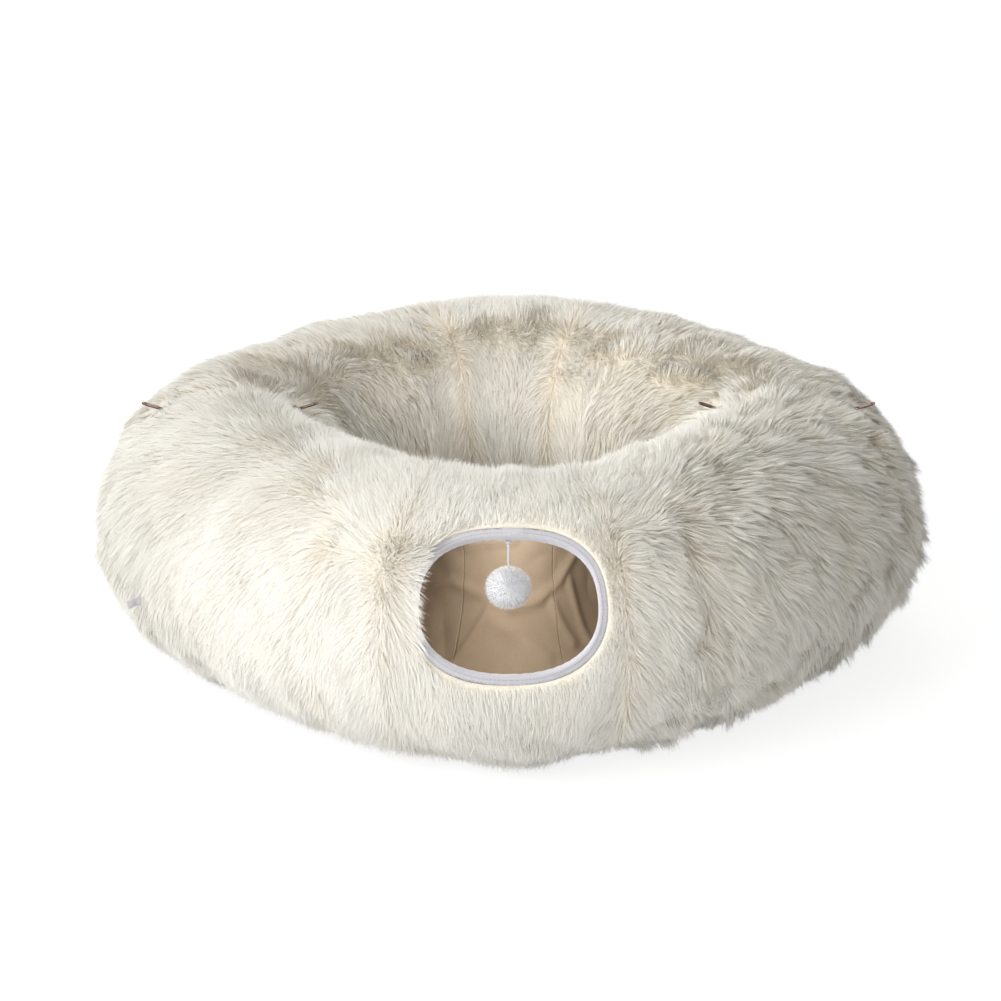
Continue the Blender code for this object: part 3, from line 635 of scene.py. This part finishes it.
def off_seams(front, run, turn, right):
    """How far the pile leans along the ring, off its seams and creases, and how parted it is over them."""
    away = np.zeros_like(run)
    parted = np.zeros_like(run)
    for seam in (WHORL_RUN if front else -SEAM_AZIMUTH, SEAM_AZIMUTH):
        away += swept(run - seam, 0.028, 0.085)
        parted = np.maximum(parted, fold(run - seam, 0.045))
    away += 0.42 * np.sign(run) * (np.abs(run) > SEAM_AZIMUTH)
    for crease in (-PLEAT_AZIMUTH, PLEAT_AZIMUTH):
        away += 0.8 * front * swept(run - crease, 0.02, 0.06) * eased((1.3 - turn) / 0.5)
    low = front * eased((1.1 - turn) / 0.4)
    away += 0.35 * right * front + 0.8 * low * swept(run - SEAM_AZIMUTH, 0.010, 0.04)
    return away, parted * (1 - 0.6 * low * (run > 0))


def off_lumps(half, run, angle, lump):
    """How far the pile leans along and round, off the tops of its lumps."""
    step = 0.004
    leans = []
    for run_step, angle_step, arm in ((step, 0, ENTRANCE_ARM), (0, step, PILE_RADIUS)):
        beside = ripple(wall(half, run + run_step, angle + angle_step, PILE_RADIUS), LUMP_SIZE, LUMP_SEED)
        leans.append(np.clip((beside - lump) * LUMP_SIZE / math.pi / step / arm, -1, 1))
    return leans


def round_entrance(front, run, angle, turn):
    """How far the pile falls over the tape, how near the tape it is, and its direction from the entrance's middle."""
    gap = (entrance_reach(run, angle) - 1) * ENTRANCE_HALF_HEIGHT
    over = front * fold(turn - math.radians(30), math.radians(28)) * (run < -0.1) * (run > WHORL_RUN - 0.02)
    edge = np.exp(-np.maximum(gap, 0) / 0.012) * (gap > -0.02) * (1 - over)
    edge = edge * (1 - 0.9 * fold(run + 0.25, 0.07))
    across = run * ENTRANCE_ARM
    upward = (turn - ENTRANCE_TILT) * BACKING_RADIUS
    size = np.hypot(across, upward) + 1e-6
    return over, edge, across / size, upward / size


def comb(half, run, angle, rng):
    """Direction of the pile in (along, round, out), how long it is as a share, how tufted, and how much warm painted
    shade and random tint it has.
    """
    places = wall(half, run, angle, PILE_RADIUS)
    turn = (angle + QUARTER_TURN) % math.tau - QUARTER_TURN
    front = 1.0 if half < 0 else 0.0
    rear = 1 - front
    middle = front * fold(run, 0.50) ** 0.6
    right = eased((run - 0.20) / 0.35) * (1.0 if front else 0.25)
    parting = CROWN_PARTING + (FRONT_PARTING - CROWN_PARTING) * middle + 0.22 * ripple(places, 0.03, 21)
    down = np.tanh((turn - parting) / 0.22)
    upright = fold(turn - parting, 0.45)
    length = 0.86 + 0.14 * right + 0.10 * ripple(places, 0.035, 22) + 0.10 * right * ripple(places, 0.02, 26)
    away, parted = off_seams(front, run, turn, right)
    to_zip = np.exp(-(RUN_END - np.abs(run)) / 0.10)
    away = away * (1 - to_zip) + np.sign(run) * to_zip * 0.25
    along = away + 0.22 * ripple(places, 0.045, 23) + 0.35 * right * ripple(places, 0.022, 27)
    around = down * (1 + 0.15 * ripple(places, 0.05, 24)) + 0.30 * right * ripple(places, 0.025, 28)

    # Strands fan out from the tops of the lumps
    rough = np.clip(right + 0.30 * middle + 0.12 * rear + 0.10, 0, 1)
    lump = ripple(places, LUMP_SIZE, LUMP_SEED)
    ahead, above = off_lumps(half, run, angle, lump)
    along = along - 1.15 * rough * ahead
    around = around - 1.15 * rough * above
    length = length * (1 + 0.22 * rough * np.clip(lump, -1, 1))

    # The strands stand off the tape, but fall across it at its left
    over, edge, across, upward = round_entrance(front, run, angle, turn)
    along = along * (1 - 0.5 * edge) + 0.45 * edge * across + 0.8 * over
    around = (around * (1 - 0.5 * edge) + 0.45 * edge * upward) * (1 - 0.5 * over)
    length = length * (1 - 0.58 * edge) + 0.33 * over
    out = 0.50 + 0.42 * upright + 0.14 * middle + 0.12 * right + 0.25 * edge + 0.2 * to_zip + 0.35 * parted
    out = out - 0.55 * over - rear * (0.10 + 0.04 * upright) + 0.10 * ripple(places, 0.02, 25) * (1 + right)

    # Parted and short round each slider, so that its pull shows
    to_joint = (RUN_END - np.abs(run)) * RING_RADIUS
    for place in SLIDER_ANGLES:
        aside = (turn - place) * PILE_RADIUS
        near = np.exp(-((to_joint / 0.032) ** 2) - (aside / 0.020) ** 2)
        length = length * (1 - 0.62 * near)
        along = along - np.sign(run) * 0.8 * near
        around = around * (1 - near) + np.tanh(aside / 0.006) * near
        out = out * (1 - 0.35 * near)

    # The tuft that stands up over the front's left seam, and the rear's flat top
    hump = front * fold(run + 0.24, 0.10) * fold(turn - math.radians(105), 0.25)
    top = rear * fold(turn - math.radians(95), 0.35)
    length = length * (1 + 0.25 * hump) + 0.14 * top * (fold(run - 0.2, 0.45) - 0.5)
    rim = middle * fold(turn - math.radians(112), 0.35)
    out = out + 0.45 * rim

    loose = 0.17 + 0.12 * front * (1 - right) + 0.20 * parted + 0.12 * rim
    along = along + loose * rng.normal(size=run.shape)
    around = around + loose * rng.normal(size=run.shape)
    out = np.maximum(out + 0.12 * rng.normal(size=run.shape), 0.12)
    tufted = np.clip(0.34 + 0.5 * right + 0.16 * rear + 0.15 * ripple(places, 0.05, 29), 0.15, 1.0)
    # Painted shade: warmer and darker low inside the ring, in the folds and seams, on the right and at the rear, and
    # paler on the lumps' tops; a ripple adds random tint.
    low_inside = fold(turn - math.radians(200), 0.7)
    folds = fold(RING_RADIUS * (np.abs(run) - PLEAT_AZIMUTH), 0.012) * (turn < 1.2)
    seams = fold(RING_RADIUS * (np.abs(run) - SEAM_AZIMUTH), 0.010)
    warm_shade_and_tint = 0.10 + 0.45 * right + 0.65 * low_inside + 0.35 * (folds + seams) + 0.25 * rear
    warm_shade_and_tint = np.clip(warm_shade_and_tint + 0.15 * ripple(places, 0.04, 31) - 0.35 * rough * lump, 0, 1)
    return unit(np.stack([along, around, out], axis=-1)), length, tufted, warm_shade_and_tint


def nearest(roots, count):
    """For each root, which of the first few roots is closest to it."""
    tree = KDTree(count)
    for i, root in enumerate(roots[:count].tolist()):
        tree.insert(root, i)
    tree.balance()
    return np.array([tree.find(root)[1] for root in roots.tolist()])


def scattered(count, seed):
    """Evenly scattered points of the unit square, the first few of them evenly scattered too."""
    steps = np.arange(count) + seed * 17.0
    return [(steps * step) % 1 for step in SPREAD_STEPS]


def grown(roots, normals, vectors, lengths, weight, seed, tuft=12, lock=90, tufted=1.0):
    """Paths of strands that sag, and that lean together into tufts, and the tufts into locks. Also each one's tuft."""
    count = len(roots)
    tufted = np.broadcast_to(tufted, count)[:, None]
    rng = np.random.default_rng(seed)
    fall = np.array([0.0, 0.0, -1.0])
    sag = fall - normals * (normals @ fall)[:, None]
    curl = np.cross(vectors, normals) * rng.normal(scale=0.12, size=(count, 1))
    bent = (sag * weight + curl)[:, None] * STRAND_LEVELS[:, None] ** 2
    paths = roots[:, None] + lengths[:, None, None] * (vectors[:, None] * STRAND_LEVELS[:, None] + bent)
    tufts = max(count // tuft, 1)
    to_lock = nearest(roots[:tufts], max(count // lock, 1))
    pull = 0.45 * tufted[:tufts] ** 1.5 * STRAND_LEVELS**1.3
    paths[:tufts] += (paths[to_lock] - paths[:tufts]) * pull[..., None]
    to_tuft = nearest(roots, tufts)
    pull = rng.uniform(0.45, 0.95, size=(count, 1)) * tufted * STRAND_LEVELS**1.2
    paths += (paths[to_tuft] - paths) * pull[..., None]
    return paths, to_tuft


def strand_mesh(name, paths, normals, widths, tones, shade_and_tint_amounts):
    """Ribbon strands that taper to a point: one mesh with a tone, an amount of painted shade and tint, and a place
    along for each point.
    """
    count = len(paths)
    pairs = len(WIDTH_SHARES)
    size = 2 * pairs + 1
    level = np.arange(size) // 2
    heading = paths[:, 1:] - paths[:, :-1]
    heading = unit(np.concatenate([heading[:, :1], heading], axis=1)[:, :pairs])
    side = unit(np.cross(heading, normals[:, None, :]))
    face = np.cross(side, heading)
    rng = np.random.default_rng(len(name) + count)
    twist = rng.normal(scale=0.45, size=(count, 1, 1))
    side = side * np.cos(twist) + face * np.sin(twist)
    half_width = np.broadcast_to(widths, count)[:, None, None] / 2 * WIDTH_SHARES[None, :, None]
    points = np.empty((count, size, 3), dtype=np.float32)
    points[:, 0:-1:2] = paths[:, :-1] - side * half_width
    points[:, 1:-1:2] = paths[:, :-1] + side * half_width
    points[:, -1] = paths[:, -1]
    shade = unit(face[:, np.minimum(level, pairs - 1)] * 0.28 + normals[:, None, :] * 0.85)

    mesh = bpy.data.meshes.new(name)
    mesh.vertices.add(count * size)
    mesh.vertices.foreach_set("co", points.ravel())
    pattern = [2 * i + j for i in range(pairs - 1) for j in (0, 1, 3, 2)]
    pattern = np.array(pattern + [size - 3, size - 2, size - 1])
    corners = (np.arange(count)[:, None] * size + pattern).ravel().astype(np.int32)
    mesh.loops.add(len(corners))
    mesh.loops.foreach_set("vertex_index", corners)
    mesh.polygons.add(count * pairs)
    starts = np.arange(count)[:, None] * len(pattern) + 4 * np.arange(pairs)
    mesh.polygons.foreach_set("loop_start", starts.ravel().astype(np.int32))
    mesh.polygons.foreach_set("use_smooth", np.ones(count * pairs, dtype=bool))
    mesh.update(calc_edges=True)

    along = np.tile(STRAND_LEVELS[level], count)
    tones, shade_and_tint_amounts = (np.repeat(np.broadcast_to(values, count), size) for values in (tones, shade_and_tint_amounts))
    for title, values in {"along": along, "tone": tones, "shade_and_tint_amount": shade_and_tint_amounts}.items():
        mesh.attributes.new(title, "FLOAT", "POINT").data.foreach_set("value", values.astype(np.float32))
    made = mesh.attributes.new("custom_normal", "FLOAT_VECTOR", "POINT")
    made.data.foreach_set("vector", shade.astype(np.float32).ravel())

    # Each strand has its own cell of the map, so that no two share a place in it
    columns = math.ceil(math.sqrt(count))
    cell = np.arange(count)
    corner = np.stack([cell % columns, cell // columns], axis=-1) / columns
    across = np.append(np.tile([0.1, 0.9], pairs), 0.5)
    place = np.stack([across, 0.05 + 0.9 * STRAND_LEVELS[level]], axis=-1)
    spots = corner[:, None, :] + place[None] / columns
    layer = mesh.uv_layers.new(name="OFBake")
    layer.uv.foreach_set("vector", spots[:, pattern].astype(np.float32).ravel())
    return mesh


def make_fur(looks):
    """Combed strands over both halves, in sectors."""
    widest = RING_RADIUS + PILE_RADIUS
    for end, (sectors, density) in FUR_SECTORS.items():
        half = HALVES[end]
        edges = np.linspace(-RUN_END, RUN_END, sectors + 1)
        for i, (start, finish) in enumerate(zip(edges, edges[1:])):
            seed = i + (50 if half > 0 else 0)
            rng = np.random.default_rng(1000 + seed)
            tries = int(density * strand_share() * (finish - start) * widest * math.tau * PILE_RADIUS)
            first, second = scattered(tries, seed)
            run = start + (finish - start) * first + rng.normal(scale=0.002, size=tries)
            run = np.clip(run, start, finish)
            angle = math.tau * second - math.pi + rng.normal(scale=0.004, size=tries)
            reach = plan_radius(np.minimum(np.abs(run), QUARTER_TURN)) + pile_surface(half, run, angle) * np.cos(angle)
            share = reach / widest * (1 - 0.8 * fold(angle + QUARTER_TURN, 0.55))
            keep = (rng.random(tries) < share) & (entrance_reach(run, angle) > 1.004)
            run, angle = run[keep], angle[keep]
            along, turned, out = directions(half, run, angle)
            combed, length, tufted, shade_and_tint_amount = comb(half, run, angle, rng)
            vectors = along * combed[:, :1] + turned * combed[:, 1:2] + out * combed[:, 2:]
            roots = wall(half, run, angle, undercoat(half, run, angle) - ROOT_DEPTH)
            lengths = FUR_LENGTH * length * rng.uniform(0.75, 1.15, size=len(run))
            paths, to_tuft = grown(roots, out, vectors, lengths, 0.26, seed, tufted=tufted)
            paths[..., 2] = np.maximum(paths[..., 2], STRAND_LOWEST)
            paths[..., 1] = half * np.maximum(half * paths[..., 1], JOINT_CLEARANCE)
            normals = unit(out + 0.55 * tufted[:, None] * unit(roots - roots[to_tuft]))
            widths = FUR_WIDTH * rng.uniform(0.7, 1.3, size=len(run))
            tuft_tone = np.random.default_rng(7 + seed).uniform(0, 1, size=len(run))[to_tuft]
            tones = np.clip(0.55 * tuft_tone + 0.45 * rng.random(len(run)), 0, 1)
            tones = 1 - (1 - tones) * (0.4 + 0.6 * tufted)
            mesh = strand_mesh(f"{end}_fur_{i + 1}", paths, normals, widths, tones, shade_and_tint_amount)
            add_piece(mesh, looks["fur"])


def creases(run, angle):
    """How far slack folds of the lining stand in from the wall, along lines of (run, degrees) places."""
    turn = angle % math.tau
    inner = RING_RADIUS - BORE_RADIUS
    rise = np.zeros_like(run)
    for line, height, spread in CREASES:
        spots = [(place * inner, math.radians(degrees) * BORE_RADIUS) for place, degrees in line]
        closest = np.full(run.shape, 1.0)
        for (a, b), (c, d) in zip(spots, spots[1:]):
            u, v = run * inner - a, turn * BORE_RADIUS - b
            share = np.clip((u * (c - a) + v * (d - b)) / ((c - a) ** 2 + (d - b) ** 2), 0, 1)
            closest = np.minimum(closest, np.hypot(u - share * (c - a), v - share * (d - b)))
        rise = np.maximum(rise, height * fold(closest, spread))
    return rise


def lining_radius(half, run, angle):
    """Radius of the lining's inner face: a little slack, with creases."""
    places = wall(half, run, angle, BORE_RADIUS)
    slack = 0.0014 * ripple(places, 0.05, 41) + 0.0006 * ripple(places, 0.02, 42)
    return BORE_RADIUS - 0.0012 - np.abs(slack) - creases(run, angle)


def make_linings(looks):
    """Tan cloth inside each half, slack between its hoops."""
    for end, half in HALVES.items():
        spacing, turns = (0.0035, 220) if half < 0 else (0.005, 160)
        for place, side in PANELS.items():
            runs = panel_runs(side, spacing)
            hole = None if side else LINING_INSET
            mesh = wall_mesh(f"{end}_lining_cloth_{place}", half, runs, turns, lining_radius, hole)
            piece = add_piece(mesh, looks["lining"], f"{end}_lining_{place}")
            thickened(piece, -LINING_THICKNESS)


def entrance_line(half, inset, radius, count):
    """Points round the entrance's outline at an inset and a radius of the section."""
    across, upward = (np.sign(v) * np.abs(v) ** (2 / ENTRANCE_ROUNDNESS) for v in polar(1, circle(count), 0).T[:2])
    run = (ENTRANCE_HALF_WIDTH - inset) * across / ENTRANCE_ARM
    angle = ENTRANCE_TILT + (ENTRANCE_HALF_HEIGHT - inset) * upward / BACKING_RADIUS
    return wall(half, run, angle, radius)


def make_bindings(looks):
    """Soft tape folded over the entrance's edge, with two rows of stitches."""
    high = BINDING_HIGH + BINDING_TAPE
    low = BINDING_LOW - BINDING_TAPE
    profile = [
        (0.0004, BINDING_HIGH - 0.0002),
        (0.0001, high - 0.0004),
        (0.0012, high + 0.0003),
        (0.0040, high + 0.0003),
        (0.0070, high - 0.0002),
        (0.0083, high - 0.0012),
        (BINDING_WIDTH, (high + low) / 2),
        (0.0083, low + 0.0012),
        (0.0060, low - 0.0003),
        (0.0014, low),
        (0.0004, BINDING_LOW + 0.0002),
        (0.0085, BINDING_LOW + 0.0006),
        (0.0085, BINDING_HIGH - 0.0006),
    ]
    count = 168
    for end, half in HALVES.items():
        points = np.stack([entrance_line(half, inset, radius, count) for inset, radius in profile], axis=1)
        points[..., 2] += 0.00035 * np.sin(circle(count) * 56)[:, None]
        # The tape's end laps over its start
        lap = round(count * 0.235)
        points[lap : lap + 4, 1:5, 1:] += [half * 0.0008, 0.0008]
        mesh = loop_mesh(f"{end}_binding_tape", points, "joined", over=half < 0)
        piece = add_piece(mesh, looks["tape"], f"{end}_entrance_binding")
        change = piece.modifiers.new("round", "SUBSURF")
        change.levels = change.render_levels = 1
        for row, inset in (("outer", 0.0020), ("inner", 0.0062)):
            make_stitches(f"{end}_binding_stitches_{row}", entrance_line(half, inset, high + 0.0003, 172), half, looks)


def make_stitches(name, line, half, looks):
    """Short threads along a closed line, each one dipping into the cloth at both ends."""
    shares = np.array([0.06, 0.25, 0.6, 0.78])[:, None]
    lifts = np.array([-0.5, 0.5, 0.5, -0.5])[:, None] * STITCH_RADIUS
    turn = circle(5)[:, None]
    ahead = (np.roll(line, -1, axis=0) - line)[:, None]
    heading = unit(ahead)
    side = unit(np.cross(heading, [0.0, half * 0.8, 0.6]))
    up = np.cross(side, heading)
    middles = line[:, None] + ahead * shares + up * lifts
    points = middles[:, :, None] + ((side * np.cos(turn) + up * np.sin(turn)) * STITCH_RADIUS)[:, None]
    one = turned_over(loop_faces(4, 5, "capped"))
    faces = [tuple(20 * i + v for v in face) for i in range(len(line)) for face in one]
    add_piece(mesh_from(name, points, faces), looks["thread"])


def tube_mesh(name, path, radius, sides):
    """A tube along a path of points, with closed ends."""
    headings = unit(np.gradient(path, axis=0))
    side = np.cross(headings[0], [0.3, 0.9, 0.2])
    turn = circle(sides)[:, None]
    loops = []
    for place, ahead in zip(path, headings):
        side = unit(side - ahead * (side @ ahead))
        loops.append(place + (side * np.cos(turn) + np.cross(ahead, side) * np.sin(turn)) * radius)
    return loop_mesh(name, np.array(loops), "capped")


def sphere_mesh(name, centre, radius, rings, segments, seed, rough):
    """A ball with an uneven surface."""
    drop = math.pi * np.linspace(0.02, 0.98, rings + 1)[:, None]
    points = polar(np.sin(drop), circle(segments), np.cos(drop))
    size = radius * (1 + rough * ripple(points, 0.6, seed))
    return loop_mesh(name, points * size[..., None] + np.array(centre), "capped", over=True)


def make_pompom(looks):
    """A string from the knot, and a dense ball of short white strands round its end."""
    top = HANG.z - KNOT_RADIUS - CORD_GAP
    heights = np.linspace(top, top - CORD_LENGTH, 17)
    curve = bpy.data.curves.new("pompom_string", "CURVE")
    curve.dimensions = "3D"
    curve.bevel_depth = CORD_DIAMETER / 2
    curve.bevel_resolution = 3
    curve.use_fill_caps = True
    spline = curve.splines.new("POLY")
    spline.points.add(len(heights) - 1)
    for point, height in zip(spline.points, heights):
        point.co = (HANG.x, HANG.y, float(height), 1)
    curve.materials.append(looks["string"])
    string = linked("pompom_string", curve)
    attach(string, "pompom")
    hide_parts("pompom_cord")

    centre = np.array([HANG.x, HANG.y, top - CORD_LENGTH - STRING_END_HEIGHT])
    mesh = sphere_mesh("pompom_core", centre, CORE_RADIUS, 20, 32, 61, 0.05)
    core = add_piece(mesh, looks["fluff_core"], "pompom", body="pompom")
    steps = np.arange(POMPOM_STRANDS)
    height = 1 - 2 * (steps * GOLDEN_STEP % 1)
    out = polar(np.sqrt(1 - height**2), math.tau * (steps * SPREAD_STEPS[0] % 1), height)
    rng = np.random.default_rng(62)
    vectors = unit(out + 0.22 * rng.normal(size=out.shape))
    root_radius = CORE_RADIUS * 0.9
    lengths = (POMPOM_RADIUS * 1.08 - root_radius) * rng.uniform(0.8, 1.16, size=POMPOM_STRANDS)
    paths = grown(centre + out * root_radius, out, vectors, lengths, 0.06, 63, tuft=14, lock=60, tufted=0.45)[0]
    paths = centre + (paths - centre) * POMPOM_SQUASH
    tones = 0.5 + 0.5 * rng.random(POMPOM_STRANDS)
    mesh = strand_mesh("pompom_tufts", paths, out, FLUFF_WIDTH, tones, 0.0)
    tufts = add_piece(mesh, looks["fluff"], body="pompom")
    mesh = sphere_mesh("string_knot", HANG, KNOT_RADIUS, 12, 18, 64, 0.08)
    add_piece(mesh, looks["string"], "cord_knot", body="cord_knot")


def make_zips(looks):
    """At each side two tapes, each with a coil of nylon along its edge."""
    near = ROW_SPACING / 2
    middle = near + 0.006
    far = near + TAPE_WIDTH
    inner, outer = TAPE_INNER + 0.0001, TAPE_OUTER - 0.0001
    radii = np.array([TAPE_INNER, TAPE_OUTER, outer, TAPE_OUTER, TAPE_INNER, inner])
    offsets = np.array([near, near, middle, far, far, middle])
    steps = COIL_STEPS * round(math.tau * TAPE_OUTER / COIL_PITCH)
    phase = math.tau * np.arange(steps) / COIL_STEPS
    coil_radii = TAPE_OUTER + ROW_RISE / 2 + (ROW_RISE / 2 - COIL_WIRE) * np.sin(phase)
    coil_offsets = near + ROW_WIDTH / 2 + (ROW_WIDTH / 2 - COIL_WIRE) * np.cos(phase)
    for side, sign in SIDES.items():
        centre = np.array([sign * RING_RADIUS, 0, AXIS_HEIGHT])
        for end, half in HALVES.items():
            points = centre + polar(radii, circle(240)[:, None], half * offsets)[..., [0, 2, 1]]
            mesh = loop_mesh(f"{side}_zip_{end}_cloth", points, "joined", over=half > 0, smooth=False)
            add_piece(mesh, looks["zip_tape"], f"{side}_zip_{end}_tape")
            path = centre + polar(coil_radii, circle(steps), half * coil_offsets)[..., [0, 2, 1]]
            add_piece(tube_mesh(f"{side}_zip_{end}_coil", path, COIL_WIRE, 4), looks["coil"])


def turned_mesh(name, profile, steps, uneven=0.0, seed=0):
    """A solid of revolution through (radius, height) points that start and end on the axis."""
    radius, height = np.array(profile[1:-1]).T[..., None]
    points = polar(radius, circle(steps), height).reshape(-1, 3)
    points[:, 2] += uneven * ripple(points, 0.035, seed) * (points[:, 2] > MAT_FOAM_TOP + 0.002)
    faces = turned_over(loop_faces(len(radius), steps))
    top = len(points)
    last = top - steps
    for k in range(steps):
        n = (k + 1) % steps
        faces += [(top, k, n), (top + 1, last + n, last + k)]
    poles = [[0, 0, profile[0][1]], [0, 0, profile[-1][1]]]
    return mesh_from(name, np.concatenate([points, poles]), faces)


def mat_height(radius):
    """Height of the mat's top at a distance from its middle: crowned, with a sewn ring near the edge."""
    channel = MAT_RADIUS * MAT_CHANNEL_SHARE
    crown = MAT_CROWN * np.maximum(1 - (radius / channel) ** 2, 0)
    ring = 0.0042 * fold(radius - channel, 0.008)
    bolster = 0.0022 * fold(radius - (channel + MAT_RADIUS) / 2, 0.018)
    edge = np.clip((radius - (MAT_RADIUS - MAT_ROUND)) / MAT_ROUND, 0, 1)
    rounding = MAT_ROUND * (1 - np.sqrt(1 - edge**2))
    button = 0.006 * fold(radius, 0.012)
    return MAT_TOP + crown + bolster - ring - rounding - button


def make_mat(looks):
    """A crowned plush pad over its foam, with a sewn ring, a tuft in the middle and piping at its edge."""
    flat = MAT_RADIUS - MAT_ROUND
    radii = np.concatenate([np.linspace(0, flat, 34), np.linspace(flat, MAT_RADIUS, 9)[1:]])
    low = MAT_BASE + 0.0003
    profile = [(r, mat_height(r) - MAT_SKIN) for r in radii.tolist()]
    foam_radius = MAT_RADIUS - 0.010 + 0.0003
    profile += [(MAT_RADIUS, low + 0.004), (MAT_RADIUS - 0.002, low), (foam_radius, low), (foam_radius, MAT_FOAM_TOP)]
    profile.append((0, MAT_FOAM_TOP))
    mesh = turned_mesh("mat_cover", profile, 144, 0.0010, 71)
    cover = add_piece(mesh, looks["wool"], "mat_plush_top")
    cut = MAT_RADIUS - 0.001
    base = [(0, MAT_BASE), (cut, MAT_BASE), (MAT_RADIUS, MAT_BASE / 2), (cut, 0.0), (0, 0.0)]
    add_piece(turned_mesh("mat_base", base, 144), looks["base"], "mat_base_cloth")
    turn, section = circle(180)[:, None], circle(8)
    radius = MAT_RADIUS - 0.0006 + PIPING_RADIUS * np.cos(section)
    points = polar(radius, turn, MAT_BASE + 0.0022 + PIPING_RADIUS * np.sin(section))
    add_piece(loop_mesh("mat_piping", points, "joined"), looks["tape"])

    count = round(MAT_STRANDS * strand_share())
    first, second = scattered(count, 81)
    rng = np.random.default_rng(82)
    radius = (MAT_RADIUS + 0.012) * np.sqrt(first)
    turn = math.tau * second
    height = mat_height(np.minimum(radius, MAT_RADIUS * 0.9999)) - MAT_SKIN - np.maximum(radius - MAT_RADIUS, 0)
    radius = np.minimum(radius, MAT_RADIUS)
    roots = polar(radius, turn, np.maximum(height, MAT_BASE + 0.006))
    lean = np.clip((radius - flat) / MAT_ROUND, 0, 1)
    out = unit(polar(lean, turn, 1.05 - lean))
    swirl = ripple(roots, 0.06, 83) * math.pi
    vectors = out * 0.75 + polar(0.5, swirl, 0)
    vectors = unit(vectors + 0.2 * rng.normal(size=vectors.shape))
    lengths = 0.0105 * rng.uniform(0.7, 1.15, size=count) * (1 - 0.35 * lean)
    paths, to_tuft = grown(roots, out, vectors, lengths, 0.15, 84)
    paths[..., 2] = np.maximum(paths[..., 2], STRAND_LOWEST)
    tones = np.clip(0.5 * rng.random(count)[to_tuft] + 0.5 * rng.random(count), 0, 1)
    # The mat's strands get only a random tint here, no painted shade.
    shade_and_tint_amount = np.clip(0.3 + 0.3 * ripple(roots, 0.05, 85), 0, 1)
    mesh = strand_mesh("mat_pile", paths, out, MAT_STRAND_WIDTH, tones, shade_and_tint_amount)
    add_piece(mesh, looks["mat_fur"])


def strip_on(node, name, look, wave):
    """A soft strip of cloth in the place of a flat solid, with rounded edges and a slight wave."""
    corners = np.array([v.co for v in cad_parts[node].data.vertices])
    middle = corners.mean(axis=0)
    axes = np.linalg.svd(corners - middle, full_matrices=False)[2]
    halves = np.abs((corners - middle) @ axes.T).max(axis=0)
    ways = [np.linspace(-1, 1, max(round(2 * size / STRIP_STEP), 2) + 1) for size in halves[:2]]
    along, across = ways[0][:, None], np.append(ways[1], ways[1][::-1])
    thick = np.sqrt(np.maximum(1 - np.abs(ways[1]) ** 8, 0.04))
    thick = np.append(thick, -thick[::-1])
    pinch = 1 - 0.10 * np.abs(along) ** 6
    rise = wave * np.sin(3.1 * along + 0.8 * across)
    shares = (halves[0] * along, halves[1] * across * pinch, halves[2] * thick * 0.8 * pinch + rise)
    points = middle + np.stack(np.broadcast_arrays(*shares), axis=-1) @ axes
    mesh = loop_mesh(name, points, "capped", over=np.linalg.det(axes) < 0)
    add_piece(mesh, look, node)


def make_loose_thread(looks):
    """A thread that has worked out of the plush, low at the front right."""
    turn = np.linspace(0.3, math.tau + 0.9, 40)
    run = 0.50 + 0.021 * np.cos(turn) + 0.004 * turn
    angle = math.radians(-22) + 0.045 * np.sin(turn)
    path = wall(HALVES["front"], run, angle, PILE_RADIUS + 0.003 + 0.002 * np.sin(turn * 1.5))
    add_piece(tube_mesh("loose_thread", path, 0.0005, 6), looks["thread"])


def make_tabs(looks):
    """The tabs of bare tape."""
    strip_on("side_tab", "side_tab_cloth", looks["tape"], 0.0004)
    strip_on("cord_anchor", "string_anchor", looks["tape"], 0.0001)
    for i in range(4):
        strip_on(f"mat_tab_{i + 1}", f"mat_tab_cloth_{i + 1}", looks["tape"], 0.0001)


def finish_metal(looks):
    """Better materials for the solids that keep their shape."""
    finishes = {"slider": "bronze", "pull": "bronze", "zip_stop": "bronze", "hoop": "steel", "mat_foam": "foam"}
    for name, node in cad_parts.items():
        for word, look in finishes.items():
            if word in name:
                node.data.materials.clear()
                node.data.materials.append(looks[look])


def main():
    camera_and_light()
    surroundings()
    looks = make_looks()
    for make in (make_pompom, make_plush, make_fur, make_linings, make_bindings, make_zips, make_mat, make_tabs):
        make(looks)
    make_loose_thread(looks)
    finish_metal(looks)


main()
